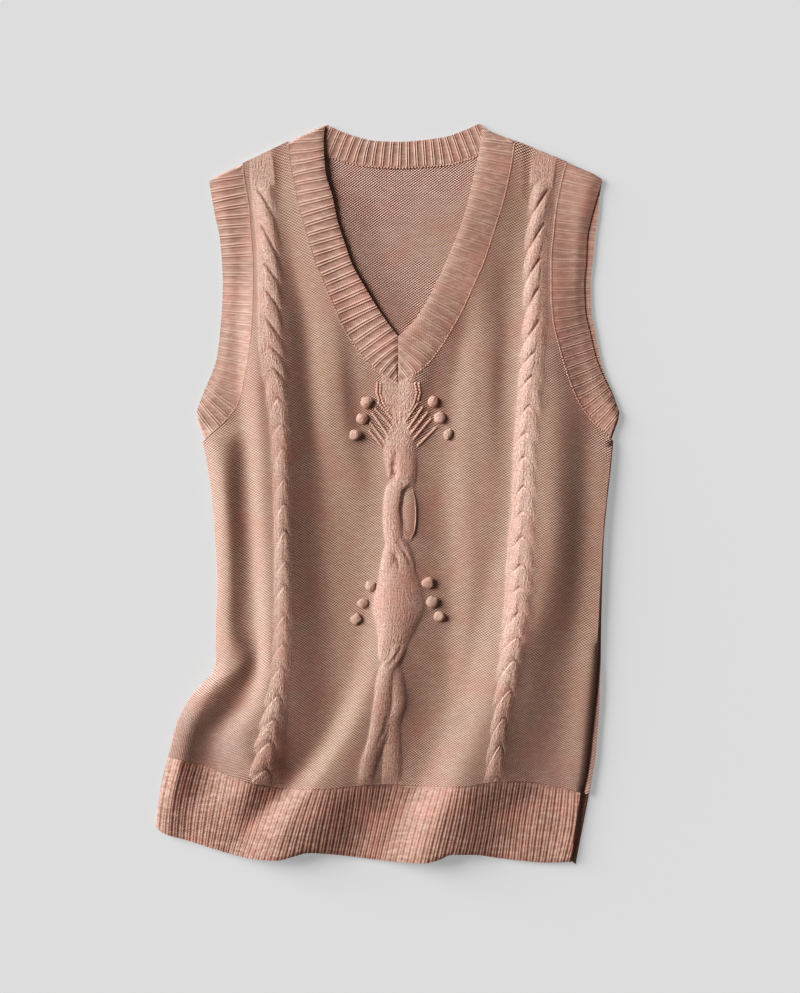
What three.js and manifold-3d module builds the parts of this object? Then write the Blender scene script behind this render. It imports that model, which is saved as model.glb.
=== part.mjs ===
// Knitted sweater vest laid flat on a table: back below, front above, ribbed neckband, armhole bands and hem.
// Millimetres. X runs across the vest, Y up towards the shoulders, Z up from the table.
import * as THREE from "three";
import { mergeVertices } from "three/addons/utils/BufferGeometryUtils.js";
import Module from "manifold-3d";

const wasm = await Module();
wasm.setup();

// Knitted wall and layers
const WALL = 2.2;
const SEAM_GAP = 0.5;
const LAYER_GAP = 0.3;
const FRONT_FLOOR = WALL + LAYER_GAP;
const TURN_AXIS = WALL + LAYER_GAP / 2;
const TURN_OUTSIDE = WALL + LAYER_GAP / 2;
const TURN_INSIDE = LAYER_GAP / 2;
const RIB_HEIGHT = 0.8;
const RIB_SHARE = 0.34;

// Ribs and grid of each piece
const NECK_RIBS = { mitre: 5, front: 22, back: 19, turn: 4 };
const ARM_RIBS = { front: 30, back: 34, turn: 4 };
const HEM_RIBS = { front: 68, rows: 3 };
const FRONT_ROWS = { straps: 23, nearVee: 7, toUnderarm: 10, toHem: 34 };
const NEAR_VEE_Y = 136;
const HALF_CELLS = { side: 4, cable: 4, chest: 6, centre: 4 };
const CABLE_PITCH = 26.4;
const CABLE_HEIGHT = 3.4;
const CABLE_WAVE = { level: 0.64, swing: 0.36, lean: 1.9 };
const BOBBLE = { radius: 5.8, height: 4.8, sunk: 1.2 };

// Heights of the main points of the outline
const SHOULDER_Y = 340;
const VEE = { x: 9.6, seam: 107.5, edge: 151.7 };
const UNDERARM_Y = 51.8;
const HEM_Y = -279;
const SEAM_TOPS = { neck: 341, arm: 321 };
const BAND_TOPS = { neck: 357, arm: 303 };
const HEM_SEAM_ENDS = { left: -211.4, right: 186, back: 193.2 };
const HEM_EDGE_ENDS = { left: -223.4, right: 176.4 };
const SHOULDER_LEFT = { neckX: -96, neckY: 339.8, armX: -140.2, armY: 318.7 };
const SHOULDER_RIGHT = { neckX: 121.9, neckY: 340.8, armX: 171.8, armY: 320.6 };

// Seam between the front and the neckband
const NECK_SEAM = [
  { y: 341, left: -96, right: 121.9 },
  { y: 320, left: -94.3, right: 119 },
  { y: 300, left: -90.3, right: 115 },
  { y: 275, left: -85.3, right: 108.5 },
  { y: 250, left: -78, right: 100.5 },
  { y: 225, left: -70.6, right: 92.5 },
  { y: 200, left: -60.3, right: 81.5 },
  { y: 180, left: -51.6, right: 72.7 },
  { y: 160, left: -42.3, right: 61.7 },
  { y: 140, left: -29.3, right: 49.5 },
  { y: 122, left: -14.3, right: 34.5 },
  { y: 107.5, left: 9.6, right: 9.6 },
];

// Free edge of the neckband on the front
const NECK_EDGE = [
  { y: 358, left: -60.5, right: 91.2 },
  { y: 340, left: -62.2, right: 89.6 },
  { y: 311, left: -60.5, right: 83.6 },
  { y: 287, left: -53.8, right: 78.4 },
  { y: 264, left: -49, right: 72 },
  { y: 240, left: -41.3, right: 63 },
  { y: 221, left: -34.6, right: 54.9 },
  { y: 200, left: -23, right: 45 },
  { y: 178, left: -9.6, right: 33 },
  { y: 164, left: 0, right: 22.5 },
  { y: 151.7, left: 9.6, right: 9.6 },
];

// Neckband behind the neck: its seam to the back and its free edge
const BACK_NECK = [
  { x: -95.9, seam: 336.8, edge: 356 },
  { x: -78, seam: 332, edge: 357 },
  { x: -60.5, seam: 326.4, edge: 356 },
  { x: -48, seam: 322.6, edge: 350.4 },
  { x: -29.8, seam: 317.8, edge: 344 },
  { x: -11.5, seam: 315.8, edge: 340.2 },
  { x: 10.6, seam: 314.9, edge: 339.4 },
  { x: 31.7, seam: 315.8, edge: 340.8 },
  { x: 56.6, seam: 317.8, edge: 344.5 },
  { x: 74.9, seam: 322.6, edge: 351 },
  { x: 90.9, seam: 328, edge: 357 },
  { x: 121.8, seam: 337.8, edge: 357 },
];

// Seam between body and armhole band
const ARM_SEAM = [
  { y: 321, left: -140.2, right: 171.8 },
  { y: 300, left: -137.6, right: 166.4 },
  { y: 275, left: -133.4, right: 161.6 },
  { y: 250, left: -131.8, right: 158.8 },
  { y: 225, left: -129.8, right: 156.7 },
  { y: 195, left: -129.6, right: 156.7 },
  { y: 165, left: -130.6, right: 159 },
  { y: 140, left: -133.3, right: 165 },
  { y: 115, left: -137.3, right: 172.6 },
  { y: 90, left: -143.4, right: 183 },
  { y: 70, left: -157.8, right: 197.5 },
  { y: 51.8, left: -178.6, right: 216.5 },
];

// Free edge of each armhole band, and how far the back layer shows past it on the right
const ARM_EDGE = [
  { y: 303, left: -171.9, right: 205.6, past: 0 },
  { y: 288, left: -169.4, right: 201, past: 2 },
  { y: 268, left: -165.8, right: 195.4, past: 6 },
  { y: 247, left: -161.4, right: 191, past: 7.4 },
  { y: 224, left: -159.4, right: 190, past: 6.4 },
  { y: 203, left: -158.4, right: 188.2, past: 6 },
  { y: 178, left: -159.4, right: 189.1, past: 6 },
  { y: 155, left: -161.3, right: 193.8, past: 5.2 },
  { y: 132, left: -164.2, right: 199.4, past: 4 },
  { y: 115, left: -169.8, right: 206, past: 2.4 },
  { y: 97, left: -177.6, right: 215, past: 1 },
  { y: 78, left: -184.6, right: 222.8, past: 0 },
];

// Side edges below the underarm: front on each side, and the back layer that shows on the right
const SIDE = [
  { y: 51.8, left: -178.6, right: 216.5, back: 216.5 },
  { y: 28, left: -173.8, right: 214.4, back: 214.4 },
  { y: -6, left: -169, right: 210.6, back: 210.6 },
  { y: -41, left: -166.4, right: 207.4, back: 207.6 },
  { y: -87, left: -164.2, right: 205.2, back: 206 },
  { y: -133, left: -165.8, right: 202.6, back: 204.8 },
  { y: -158, left: -165.6, right: 201.4, back: 204.4 },
  { y: -170, left: -168.6, right: 200.6, back: 204.2 },
  { y: -182, left: -180, right: 199.6, back: 204 },
  { y: -200, left: -194, right: 197.8, back: 203.5 },
  { y: -220, left: -203.6, right: 195.8, back: 202 },
  { y: -250, left: -211, right: 192.8, back: 199.4 },
  { y: -272, left: -216, right: 189.4, back: 196 },
  { y: -287, left: -219.4, right: 186, back: 193.4 },
  { y: -318, left: -223.8, right: 181.4, back: 187.6 },
  { y: -352, left: -224, right: 176.4, back: 180.6 },
];

// Seam above the hem rib, and the hem's bottom edge on the front
const HEM_SEAM = [
  { x: -211.4, y: -251.5 },
  { x: -180, y: -258.6 },
  { x: -150, y: -270 },
  { x: -116, y: -279.4 },
  { x: -92, y: -282 },
  { x: -60, y: -281 },
  { x: -7, y: -278 },
  { x: 30, y: -279.2 },
  { x: 70, y: -279 },
  { x: 104, y: -274.6 },
  { x: 130, y: -275 },
  { x: 156, y: -279 },
  { x: 186, y: -286 },
];
const HEM_EDGE = [
  { x: -223.8, y: -318.6 },
  { x: -216, y: -325 },
  { x: -194, y: -331.4 },
  { x: -171, y: -338.8 },
  { x: -148, y: -345.4 },
  { x: -125, y: -349.4 },
  { x: -107, y: -350.2 },
  { x: -90, y: -346 },
  { x: -77, y: -343 },
  { x: -56, y: -344.6 },
  { x: -33, y: -347.6 },
  { x: -10, y: -350.4 },
  { x: 13, y: -352.2 },
  { x: 34, y: -352.6 },
  { x: 48, y: -349.6 },
  { x: 61, y: -344.6 },
  { x: 82, y: -345 },
  { x: 106, y: -348.6 },
  { x: 129, y: -351.4 },
  { x: 152, y: -353.2 },
  { x: 176.6, y: -352.2 },
];

// Edges of the two side cables, the middle line of the front, and the half width of its centre pattern
const CABLES = [
  { y: 340, leftOut: -135, leftIn: -110, rightIn: 138.6, rightOut: 164 },
  { y: 283, leftOut: -131.4, leftIn: -104.6, rightIn: 133.8, rightOut: 159 },
  { y: 245, leftOut: -127.6, leftIn: -101.8, rightIn: 129.8, rightOut: 155 },
  { y: 206, leftOut: -126, leftIn: -98.9, rightIn: 127.7, rightOut: 153 },
  { y: 168, leftOut: -126, leftIn: -98.5, rightIn: 127.2, rightOut: 154 },
  { y: 130, leftOut: -123.8, leftIn: -96, rightIn: 124.3, rightOut: 152 },
  { y: 91, leftOut: -118, leftIn: -93, rightIn: 121.4, rightOut: 149.8 },
  { y: 34, leftOut: -112.8, leftIn: -90.2, rightIn: 118, rightOut: 144.8 },
  { y: -5, leftOut: -111.4, leftIn: -89.2, rightIn: 116, rightOut: 144 },
  { y: -62, leftOut: -111.2, leftIn: -88.6, rightIn: 112, rightOut: 142 },
  { y: -101, leftOut: -111.4, leftIn: -88.3, rightIn: 109.6, rightOut: 139.2 },
  { y: -143, leftOut: -112.3, leftIn: -88.5, rightIn: 105.6, rightOut: 134.4 },
  { y: -176, leftOut: -115.2, leftIn: -91.8, rightIn: 102, rightOut: 128 },
  { y: -199, leftOut: -119, leftIn: -94, rightIn: 99.6, rightOut: 122.4 },
  { y: -224, leftOut: -124.8, leftIn: -95.6, rightIn: 97, rightOut: 117 },
  { y: -247, leftOut: -129.8, leftIn: -97.4, rightIn: 93.6, rightOut: 114.4 },
  { y: -286, leftOut: -138, leftIn: -101.6, rightIn: 88.4, rightOut: 113 },
];
const MIDDLE = [
  { y: 107.5, x: 9.6, half: 18 },
  { y: 60, x: 11, half: 26 },
  { y: 43, x: 11, half: 20 },
  { y: -19, x: 9, half: 18 },
  { y: -62, x: 9.6, half: 19 },
  { y: -109, x: 9, half: 28 },
  { y: -141, x: 6, half: 20 },
  { y: -167, x: 2, half: 18 },
  { y: -230, x: -3, half: 18 },
  { y: -286, x: -6, half: 20 },
];

// Raised knitting of the centre: each strand's path, half width and height, listed downwards
const STRANDS = {
  overUpper: [
    { y: 60, x: 12, half: 12, height: 0.6 },
    { y: 43, x: 17, half: 9.5, height: 3 },
    { y: 14, x: 8, half: 10.5, height: 3.6 },
    { y: -19, x: 4.5, half: 10.5, height: 3.2 },
    { y: -45, x: 10, half: 10.5, height: 3.6 },
    { y: -72, x: 17, half: 10, height: 2.4 },
  ],
  underUpper: [
    { y: 60, x: 6, half: 10, height: 0.4 },
    { y: 43, x: 3, half: 8.5, height: 2.6 },
    { y: 18, x: 10, half: 8.5, height: 1.8 },
    { y: -5, x: 19, half: 8.5, height: 2.6 },
    { y: -30, x: 20, half: 8.5, height: 2.6 },
    { y: -48, x: 11, half: 8, height: 1.8 },
    { y: -72, x: 1, half: 8, height: 2.2 },
  ],
  diamond: [
    { y: -58, x: 9.6, half: 14, height: 0 },
    { y: -74, x: 9.6, half: 17, height: 2.2 },
    { y: -109, x: 9.4, half: 26, height: 3.2 },
    { y: -130, x: 7, half: 19, height: 2.6 },
    { y: -150, x: 4, half: 15, height: 0 },
  ],
  overLower: [
    { y: -134, x: 10, half: 9, height: 1 },
    { y: -150, x: 8, half: 9, height: 3 },
    { y: -170, x: -1, half: 9.5, height: 3.6 },
    { y: -199, x: -5, half: 9.5, height: 3 },
    { y: -230, x: -9, half: 10, height: 3.6 },
    { y: -256, x: -18, half: 8.5, height: 2.8 },
    { y: -282, x: -23, half: 7, height: 2 },
  ],
  underLower: [
    { y: -134, x: -2, half: 8, height: 1 },
    { y: -152, x: -2, half: 8, height: 2.6 },
    { y: -170, x: 6, half: 8, height: 1.8 },
    { y: -199, x: 11, half: 7.5, height: 2.6 },
    { y: -222, x: 4, half: 8, height: 1.8 },
    { y: -250, x: 4, half: 9.5, height: 2.6 },
    { y: -282, x: 2, half: 9, height: 2 },
  ],
};
const BOBBLES = [
  { x: -20.2, y: 89.3 },
  { x: -25, y: 73 },
  { x: -31.7, y: 57.6 },
  { x: 43.2, y: 89.3 },
  { x: 49.9, y: 73.9 },
  { x: 57.6, y: 58.6 },
  { x: -16.3, y: -87.4 },
  { x: -24, y: -103.7 },
  { x: -30.7, y: -119 },
  { x: 38.4, y: -84.5 },
  { x: 42.2, y: -102.7 },
  { x: 49.9, y: -117.1 },
];

// Folds that run down the front: crest, height, and reach of the flank on each side
const FOLDS_DOWN = {
  leftCable: [
    { y: 300, x: -120, height: 0, left: 16, right: 20 },
    { y: 240, x: -116, height: 2.4, left: 18, right: 22 },
    { y: 150, x: -112, height: 5, left: 24, right: 32 },
    { y: 50, x: -105, height: 8, left: 30, right: 40 },
    { y: -50, x: -100, height: 9.6, left: 34, right: 44 },
    { y: -140, x: -99, height: 10, left: 34, right: 46 },
    { y: -200, x: -106, height: 9, left: 46, right: 44 },
    { y: -250, x: -119, height: 7, left: 54, right: 40 },
    { y: -300, x: -140, height: 3.4, left: 44, right: 30 },
    { y: -356, x: -152, height: 1.6, left: 36, right: 26 },
  ],
  centre: [
    { y: 80, x: 16, height: 0, left: 34, right: 26 },
    { y: 20, x: 19, height: 3, left: 36, right: 28 },
    { y: -60, x: 17, height: 5.4, left: 38, right: 30 },
    { y: -120, x: 12, height: 7.6, left: 40, right: 34 },
    { y: -160, x: 3, height: 9, left: 42, right: 38 },
    { y: -200, x: -13, height: 10, left: 42, right: 42 },
    { y: -238, x: -32, height: 10.6, left: 42, right: 42 },
    { y: -276, x: -56, height: 11, left: 44, right: 40 },
    { y: -310, x: -80, height: 11, left: 44, right: 36 },
    { y: -356, x: -106, height: 11, left: 44, right: 32 },
  ],
  rightCable: [
    { y: 290, x: 150, height: 0, left: 26, right: 20 },
    { y: 190, x: 148, height: 2.4, left: 30, right: 24 },
    { y: 91, x: 150, height: 5.6, left: 38, right: 34 },
    { y: 20, x: 150, height: 8, left: 40, right: 38 },
    { y: -50, x: 147, height: 9, left: 42, right: 38 },
    { y: -100, x: 139, height: 9.8, left: 42, right: 40 },
    { y: -150, x: 127, height: 10.4, left: 42, right: 44 },
    { y: -200, x: 112, height: 10.8, left: 42, right: 48 },
    { y: -250, x: 92, height: 11.2, left: 44, right: 52 },
    { y: -300, x: 66, height: 11.4, left: 46, right: 54 },
    { y: -356, x: 44, height: 11.4, left: 46, right: 54 },
  ],
  rightSide: [
    { y: 30, x: 200, height: 0, left: 18, right: 16 },
    { y: -30, x: 196, height: 3, left: 20, right: 16 },
    { y: -120, x: 191, height: 4, left: 22, right: 16 },
    { y: -200, x: 184, height: 4.4, left: 24, right: 18 },
    { y: -280, x: 174, height: 4, left: 26, right: 18 },
    { y: -356, x: 162, height: 2.6, left: 26, right: 18 },
  ],
  leftSide: [
    { y: 62, x: -160, height: 0, left: 18, right: 14 },
    { y: 20, x: -156, height: 3, left: 18, right: 16 },
    { y: -40, x: -153, height: 4, left: 16, right: 16 },
    { y: -110, x: -152, height: 3.6, left: 16, right: 16 },
    { y: -150, x: -152, height: 0, left: 16, right: 16 },
  ],
  leftBulge: [
    { y: -178, x: -178, height: 0, left: 22, right: 24 },
    { y: -204, x: -184, height: 5, left: 22, right: 26 },
    { y: -240, x: -195, height: 7.4, left: 24, right: 26 },
    { y: -290, x: -202, height: 7, left: 26, right: 26 },
    { y: -340, x: -206, height: 4, left: 24, right: 24 },
  ],
  leftChest: [
    { y: 176, x: -68, height: 0, left: 18, right: 18 },
    { y: 140, x: -60, height: 1.6, left: 18, right: 18 },
    { y: 91, x: -50, height: 2.2, left: 18, right: 16 },
    { y: 30, x: -41, height: 1.6, left: 18, right: 16 },
    { y: -10, x: -38, height: 0, left: 18, right: 16 },
  ],
  rightChest: [
    { y: 190, x: 96, height: 0, left: 18, right: 18 },
    { y: 120, x: 84, height: 1.4, left: 18, right: 20 },
    { y: 30, x: 78, height: 2, left: 20, right: 22 },
    { y: -60, x: 70, height: 1.4, left: 20, right: 22 },
    { y: -130, x: 60, height: 0, left: 20, right: 22 },
  ],
};

// Folds that run across the front: crest, height, and reach above and below it
const FOLDS_ACROSS = {
  leftPinch: [
    { x: -184, y: -172, height: 0, above: 18, below: 16 },
    { x: -168, y: -160, height: 3, above: 22, below: 22 },
    { x: -148, y: -152, height: 4.6, above: 20, below: 26 },
    { x: -130, y: -146, height: 3, above: 18, below: 24 },
    { x: -112, y: -142, height: 0, above: 16, below: 20 },
  ],
};

// Smooth reading of a column between the rows of a table, without overshoot
function read(rows, key, column, at) {
  const list = rows[0][key] <= rows[rows.length - 1][key] ? rows : [...rows].reverse();
  if (at <= list[0][key]) return list[0][column];
  if (at >= list[list.length - 1][key]) return list[list.length - 1][column];
  let i = 0;
  while (at > list[i + 1][key]) i += 1;
  const slope = (k) => (list[k + 1][column] - list[k][column]) / (list[k + 1][key] - list[k][key]);
  const tangent = (k) => {
    if (k === 0) return slope(0);
    if (k === list.length - 1) return slope(k - 1);
    const before = slope(k - 1);
    const after = slope(k);
    return before * after <= 0 ? 0 : (2 * before * after) / (before + after);
  };
  const span = list[i + 1][key] - list[i][key];
  const t = (at - list[i][key]) / span;
  const t2 = t * t;
  const t3 = t2 * t;
  return (
    (2 * t3 - 3 * t2 + 1) * list[i][column] +
    (t3 - 2 * t2 + t) * span * tangent(i) +
    (3 * t2 - 2 * t3) * list[i + 1][column] +
    (t3 - t2) * span * tangent(i + 1)
  );
}

const bell = (t) => (Math.abs(t) < 1 ? (1 + Math.cos(Math.PI * t)) / 2 : 0);
const ease = (t) => {
  const c = Math.min(1, Math.max(0, t));
  return 1 - (1 - c) * (1 - c);
};
const mix = (a, b, t) => a + (b - a) * t;

// Shoulder line above a point of the front
function shoulderAt(x) {
  const s = x < VEE.x ? SHOULDER_LEFT : SHOULDER_RIGHT;
  return s.neckY + ((x - s.neckX) * (s.armY - s.neckY)) / (s.armX - s.neckX);
}

// Outer edge of the whole laid vest at a height, with a straight step from the armhole band to the side
const BAND_END = ARM_EDGE[ARM_EDGE.length - 1];
function edgeAt(side, y) {
  if (y > BAND_END.y) return read(ARM_EDGE, "y", side, y);
  if (y < UNDERARM_Y) return read(SIDE, "y", side, y);
  return mix(BAND_END[side], SIDE[0][side], (BAND_END.y - y) / (BAND_END.y - UNDERARM_Y));
}

// Height of the front's folds above its lying level, fading out towards the sides and shoulders
const FOLD_FADE = { side: 16, shoulder: 40 };
function foldHeight(x, y) {
  let sum = 0;
  for (const rows of Object.values(FOLDS_DOWN)) {
    const crest = read(rows, "y", "x", y);
    const height = read(rows, "y", "height", y);
    const reach = read(rows, "y", x < crest ? "left" : "right", y);
    sum += height * bell((x - crest) / reach);
  }
  for (const rows of Object.values(FOLDS_ACROSS)) {
    const crest = read(rows, "x", "y", x);
    const height = read(rows, "x", "height", x);
    const reach = read(rows, "x", y > crest ? "above" : "below", x);
    sum += height * bell((y - crest) / reach);
  }
  const side = ease((x - edgeAt("left", y)) / FOLD_FADE.side) * ease((edgeAt("right", y) - x) / FOLD_FADE.side);
  return sum * side * ease((shoulderAt(x) - y) / FOLD_FADE.shoulder);
}

// Height of the two side cables and of the centre pattern above the plain knitting
const RELIEF_FADE = { shoulder: 20, hem: 10 };
const ROPES = [
  { out: "leftOut", inn: "leftIn", turn: 1 },
  { out: "rightOut", inn: "rightIn", turn: -1 },
];
function reliefHeight(x, y) {
  let top = 0;
  for (const { out, inn, turn } of ROPES) {
    const a = read(CABLES, "y", out, y);
    const b = read(CABLES, "y", inn, y);
    const u = (2 * x - a - b) / (b - a);
    if (Math.abs(u) < 1) {
      const wave = Math.cos((2 * Math.PI * y) / CABLE_PITCH + turn * CABLE_WAVE.lean * u);
      top = Math.max(top, CABLE_HEIGHT * (1 - u ** 4) * (CABLE_WAVE.level + CABLE_WAVE.swing * wave));
    }
  }
  for (const rows of Object.values(STRANDS)) {
    if (y > rows[0].y || y < rows[rows.length - 1].y) continue;
    const u = (x - read(rows, "y", "x", y)) / read(rows, "y", "half", y);
    if (Math.abs(u) < 1) top = Math.max(top, read(rows, "y", "height", y) * Math.sqrt(1 - u * u));
  }
  const low = read(HEM_SEAM, "x", "y", x);
  return top * ease((shoulderAt(x) - y) / RELIEF_FADE.shoulder) * ease((y - low) / RELIEF_FADE.hem);
}

// A line through points worked out at many steps, and the same line moved sideways
function line(from, to, steps, pointAt) {
  return Array.from({ length: steps + 1 }, (_, i) => pointAt(mix(from, to, i / steps)));
}
function moved(points, distance) {
  return points.map(([x, y], i) => {
    const a = points[Math.max(0, i - 1)];
    const b = points[Math.min(points.length - 1, i + 1)];
    const length = Math.hypot(b[0] - a[0], b[1] - a[1]);
    return [x - ((b[1] - a[1]) / length) * distance, y + ((b[0] - a[0]) / length) * distance];
  });
}
function pointAlong(points, share) {
  const steps = points.slice(1).map((p, i) => Math.hypot(p[0] - points[i][0], p[1] - points[i][1]));
  let left = share * steps.reduce((a, b) => a + b, 0);
  for (let i = 0; i < steps.length; i += 1) {
    if (left <= steps[i] || i === steps.length - 1) {
      const t = Math.min(1, left / steps[i]);
      return [mix(points[i][0], points[i + 1][0], t), mix(points[i][1], points[i + 1][1], t)];
    }
    left -= steps[i];
  }
  return points[points.length - 1];
}
function crossingX(points, y) {
  for (let i = 0; i < points.length - 1; i += 1) {
    const [a, b] = [points[i], points[i + 1]];
    if ((y - a[1]) * (y - b[1]) <= 0 && a[1] !== b[1]) return mix(a[0], b[0], (y - a[1]) / (b[1] - a[1]));
  }
  return Math.abs(y - points[0][1]) < Math.abs(y - points[points.length - 1][1])
    ? points[0][0]
    : points[points.length - 1][0];
}

// A closed surface gathered from triangles
class Surface {
  constructor() {
    this.positions = [];
  }
  triangle(a, b, c) {
    this.positions.push(...a, ...b, ...c);
  }
  quad(a, b, c, d) {
    this.triangle(a, b, c);
    this.triangle(a, c, d);
  }
  geometry() {
    const g = new THREE.BufferGeometry();
    g.setAttribute("position", new THREE.Float32BufferAttribute(this.positions, 3));
    const merged = mergeVertices(g, 1e-3);
    const kept = [];
    for (let i = 0; i < merged.index.count; i += 3) {
      const [a, b, c] = [0, 1, 2].map((k) => merged.index.getX(i + k));
      if (a !== b && b !== c && c !== a) kept.push(a, b, c);
    }
    merged.setIndex(kept);
    merged.computeVertexNormals();
    return merged;
  }
}

// Seam lines, each moved half a seam gap to the side of its piece
const HALF_GAP = SEAM_GAP / 2;
const TIP_GAP = HALF_GAP + 0.06;
const SEAM_STEPS = 160;
const seamLine = (rows, side, top, low) => line(top, low, SEAM_STEPS, (y) => [read(rows, "y", side, y), y]);
const neckSeam = (side) => seamLine(NECK_SEAM, side, SEAM_TOPS.neck, VEE.seam);
const armSeam = (side) => seamLine(ARM_SEAM, side, SEAM_TOPS.arm, UNDERARM_Y);
const bodyNeck = {
  left: [...moved(neckSeam("left"), -HALF_GAP), [VEE.x, VEE.seam - TIP_GAP]],
  right: [...moved(neckSeam("right"), HALF_GAP), [VEE.x, VEE.seam - TIP_GAP]],
};
const bodyArm = { left: moved(armSeam("left"), HALF_GAP), right: moved(armSeam("right"), -HALF_GAP) };

// Front body: two halves of columns, one wall, plain inside and raised outside
const TOP_SHAPING = { reach: 130, power: 1.5 };
const HEM_SHAPING = { reach: 90, power: 1.3 };
const STRAP_CENTRE = { half: 8, reach: 120 };
const PLACING_PASSES = 6;
const COARSE_COLUMNS = [0, 1, 2, 3, 4, 6, 8, 9, 10, 11, 12, 13, 14, 16, 18];
function frontBody() {
  const veeY = VEE.seam - TIP_GAP;
  const stretch = (from, to, count) => Array.from({ length: count }, (_, i) => mix(from, to, i / count));
  const rowsY = [
    ...stretch(SHOULDER_Y, NEAR_VEE_Y, FRONT_ROWS.straps),
    ...stretch(NEAR_VEE_Y, veeY, FRONT_ROWS.nearVee),
    ...stretch(veeY, UNDERARM_Y, FRONT_ROWS.toUnderarm),
    ...stretch(UNDERARM_Y, HEM_Y, FRONT_ROWS.toHem),
    HEM_Y,
  ];
  const veeRow = FRONT_ROWS.straps + FRONT_ROWS.nearVee;
  const lastRow = rowsY.length - 1;
  const cells = [HALF_CELLS.side, HALF_CELLS.cable, HALF_CELLS.chest, HALF_CELLS.centre];
  const borders = (side, y) => {
    const out = y > UNDERARM_Y ? crossingX(bodyArm[side], y) : read(SIDE, "y", side, y);
    const neck = y > veeY ? crossingX(bodyNeck[side], y) : read(MIDDLE, "y", "x", y);
    const half = mix(read(MIDDLE, "y", "half", y), STRAP_CENTRE.half, ease((y - veeY) / STRAP_CENTRE.reach));
    const sign = side === "left" ? 1 : -1;
    const cable = [read(CABLES, "y", side + "Out", y), read(CABLES, "y", side + "In", y)];
    return [out, ...cable, neck - sign * half, neck];
  };
  const place = (side, row, column) => {
    let zone = 0;
    let left = column;
    while (zone < 3 && left > cells[zone]) {
      left -= cells[zone];
      zone += 1;
    }
    const topShare = Math.max(0, 1 - (SHOULDER_Y - rowsY[row]) / TOP_SHAPING.reach) ** TOP_SHAPING.power;
    const hemShare = Math.max(0, 1 - (rowsY[row] - HEM_Y) / HEM_SHAPING.reach) ** HEM_SHAPING.power;
    let y = rowsY[row];
    let x = 0;
    for (let pass = 0; pass < PLACING_PASSES; pass += 1) {
      const b = borders(side, y);
      x = mix(b[zone], b[zone + 1], left / cells[zone]);
      const top = shoulderAt(x) - SHOULDER_Y;
      const hem = read(HEM_SEAM, "x", "y", x) + HALF_GAP - HEM_Y;
      y = rowsY[row] + top * topShare + hem * hemShare;
    }
    const inner = FRONT_FLOOR + foldHeight(x, y);
    return { outer: [x, y, inner + WALL + reliefHeight(x, y)], inner: [x, y, inner] };
  };
  const columns = cells.reduce((a, b) => a + b, 0);
  const allColumns = Array.from({ length: columns + 1 }, (_, i) => i);
  const gridOf = (side) => rowsY.map((_, row) => allColumns.map((column) => place(side, row, column)));
  const left = gridOf("left");
  const right = gridOf("right").map((row) => [...row].reverse());
  const coarseLeft = COARSE_COLUMNS;
  const coarseRight = coarseLeft.map((c) => columns - c).reverse();
  const surface = new Surface();
  const skin = (grid, rowList, columnList, layer) => {
    for (let j = 0; j < rowList.length - 1; j += 1) {
      for (let i = 0; i < columnList.length - 1; i += 1) {
        const a = grid[rowList[j]][columnList[i]][layer];
        const b = grid[rowList[j]][columnList[i + 1]][layer];
        const c = grid[rowList[j + 1]][columnList[i + 1]][layer];
        const d = grid[rowList[j + 1]][columnList[i]][layer];
        if (layer === "outer") {
          surface.triangle(b, a, d);
          surface.triangle(b, d, c);
        } else {
          surface.triangle(a, b, d);
          surface.triangle(d, b, c);
        }
      }
    }
  };
  const allRows = rowsY.map((_, i) => i);
  const coarseRows = allRows.filter((r) => r % 2 === 0);
  skin(left, allRows, allColumns, "outer");
  skin(right, allRows, allColumns, "outer");
  skin(left, coarseRows, coarseLeft, "inner");
  skin(right, coarseRows, coarseRight, "inner");
  const rim = [];
  const step = (grid, row, column, coarse) =>
    rim.push({ ...grid[row][column], kept: row % 2 === 0 && coarse.includes(column) });
  for (let r = 0; r < lastRow; r += 1) step(left, r, 0, coarseLeft);
  for (let c = 0; c < columns; c += 1) step(left, lastRow, c, coarseLeft);
  for (let c = 0; c < columns; c += 1) step(right, lastRow, c, coarseRight);
  for (let r = lastRow; r > 0; r -= 1) step(right, r, columns, coarseRight);
  for (let c = columns; c > 0; c -= 1) step(right, 0, c, coarseRight);
  for (let r = 0; r < veeRow; r += 1) step(right, r, 0, coarseRight);
  for (let r = veeRow; r > 0; r -= 1) step(left, r, columns, coarseLeft);
  for (let c = columns; c > 0; c -= 1) step(left, 0, c, coarseLeft);
  closeRim(surface, rim);
  return surface.geometry();
}

// Side wall between a fine outer rim and the rim points that the inner skin keeps
function closeRim(surface, rim) {
  const kept = rim.map((p, i) => (p.kept ? i : -1)).filter((i) => i >= 0);
  kept.forEach((from, n) => {
    const to = n + 1 < kept.length ? kept[n + 1] : kept[0] + rim.length;
    const at = (i) => rim[i % rim.length];
    const middle = Math.floor((from + to) / 2);
    for (let m = from; m < to; m += 1) {
      const corner = m < middle ? at(from).inner : at(to).inner;
      surface.triangle(at(m + 1).outer, at(m).outer, corner);
    }
    surface.triangle(at(middle).outer, at(from).inner, at(to).inner);
  });
}

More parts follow.
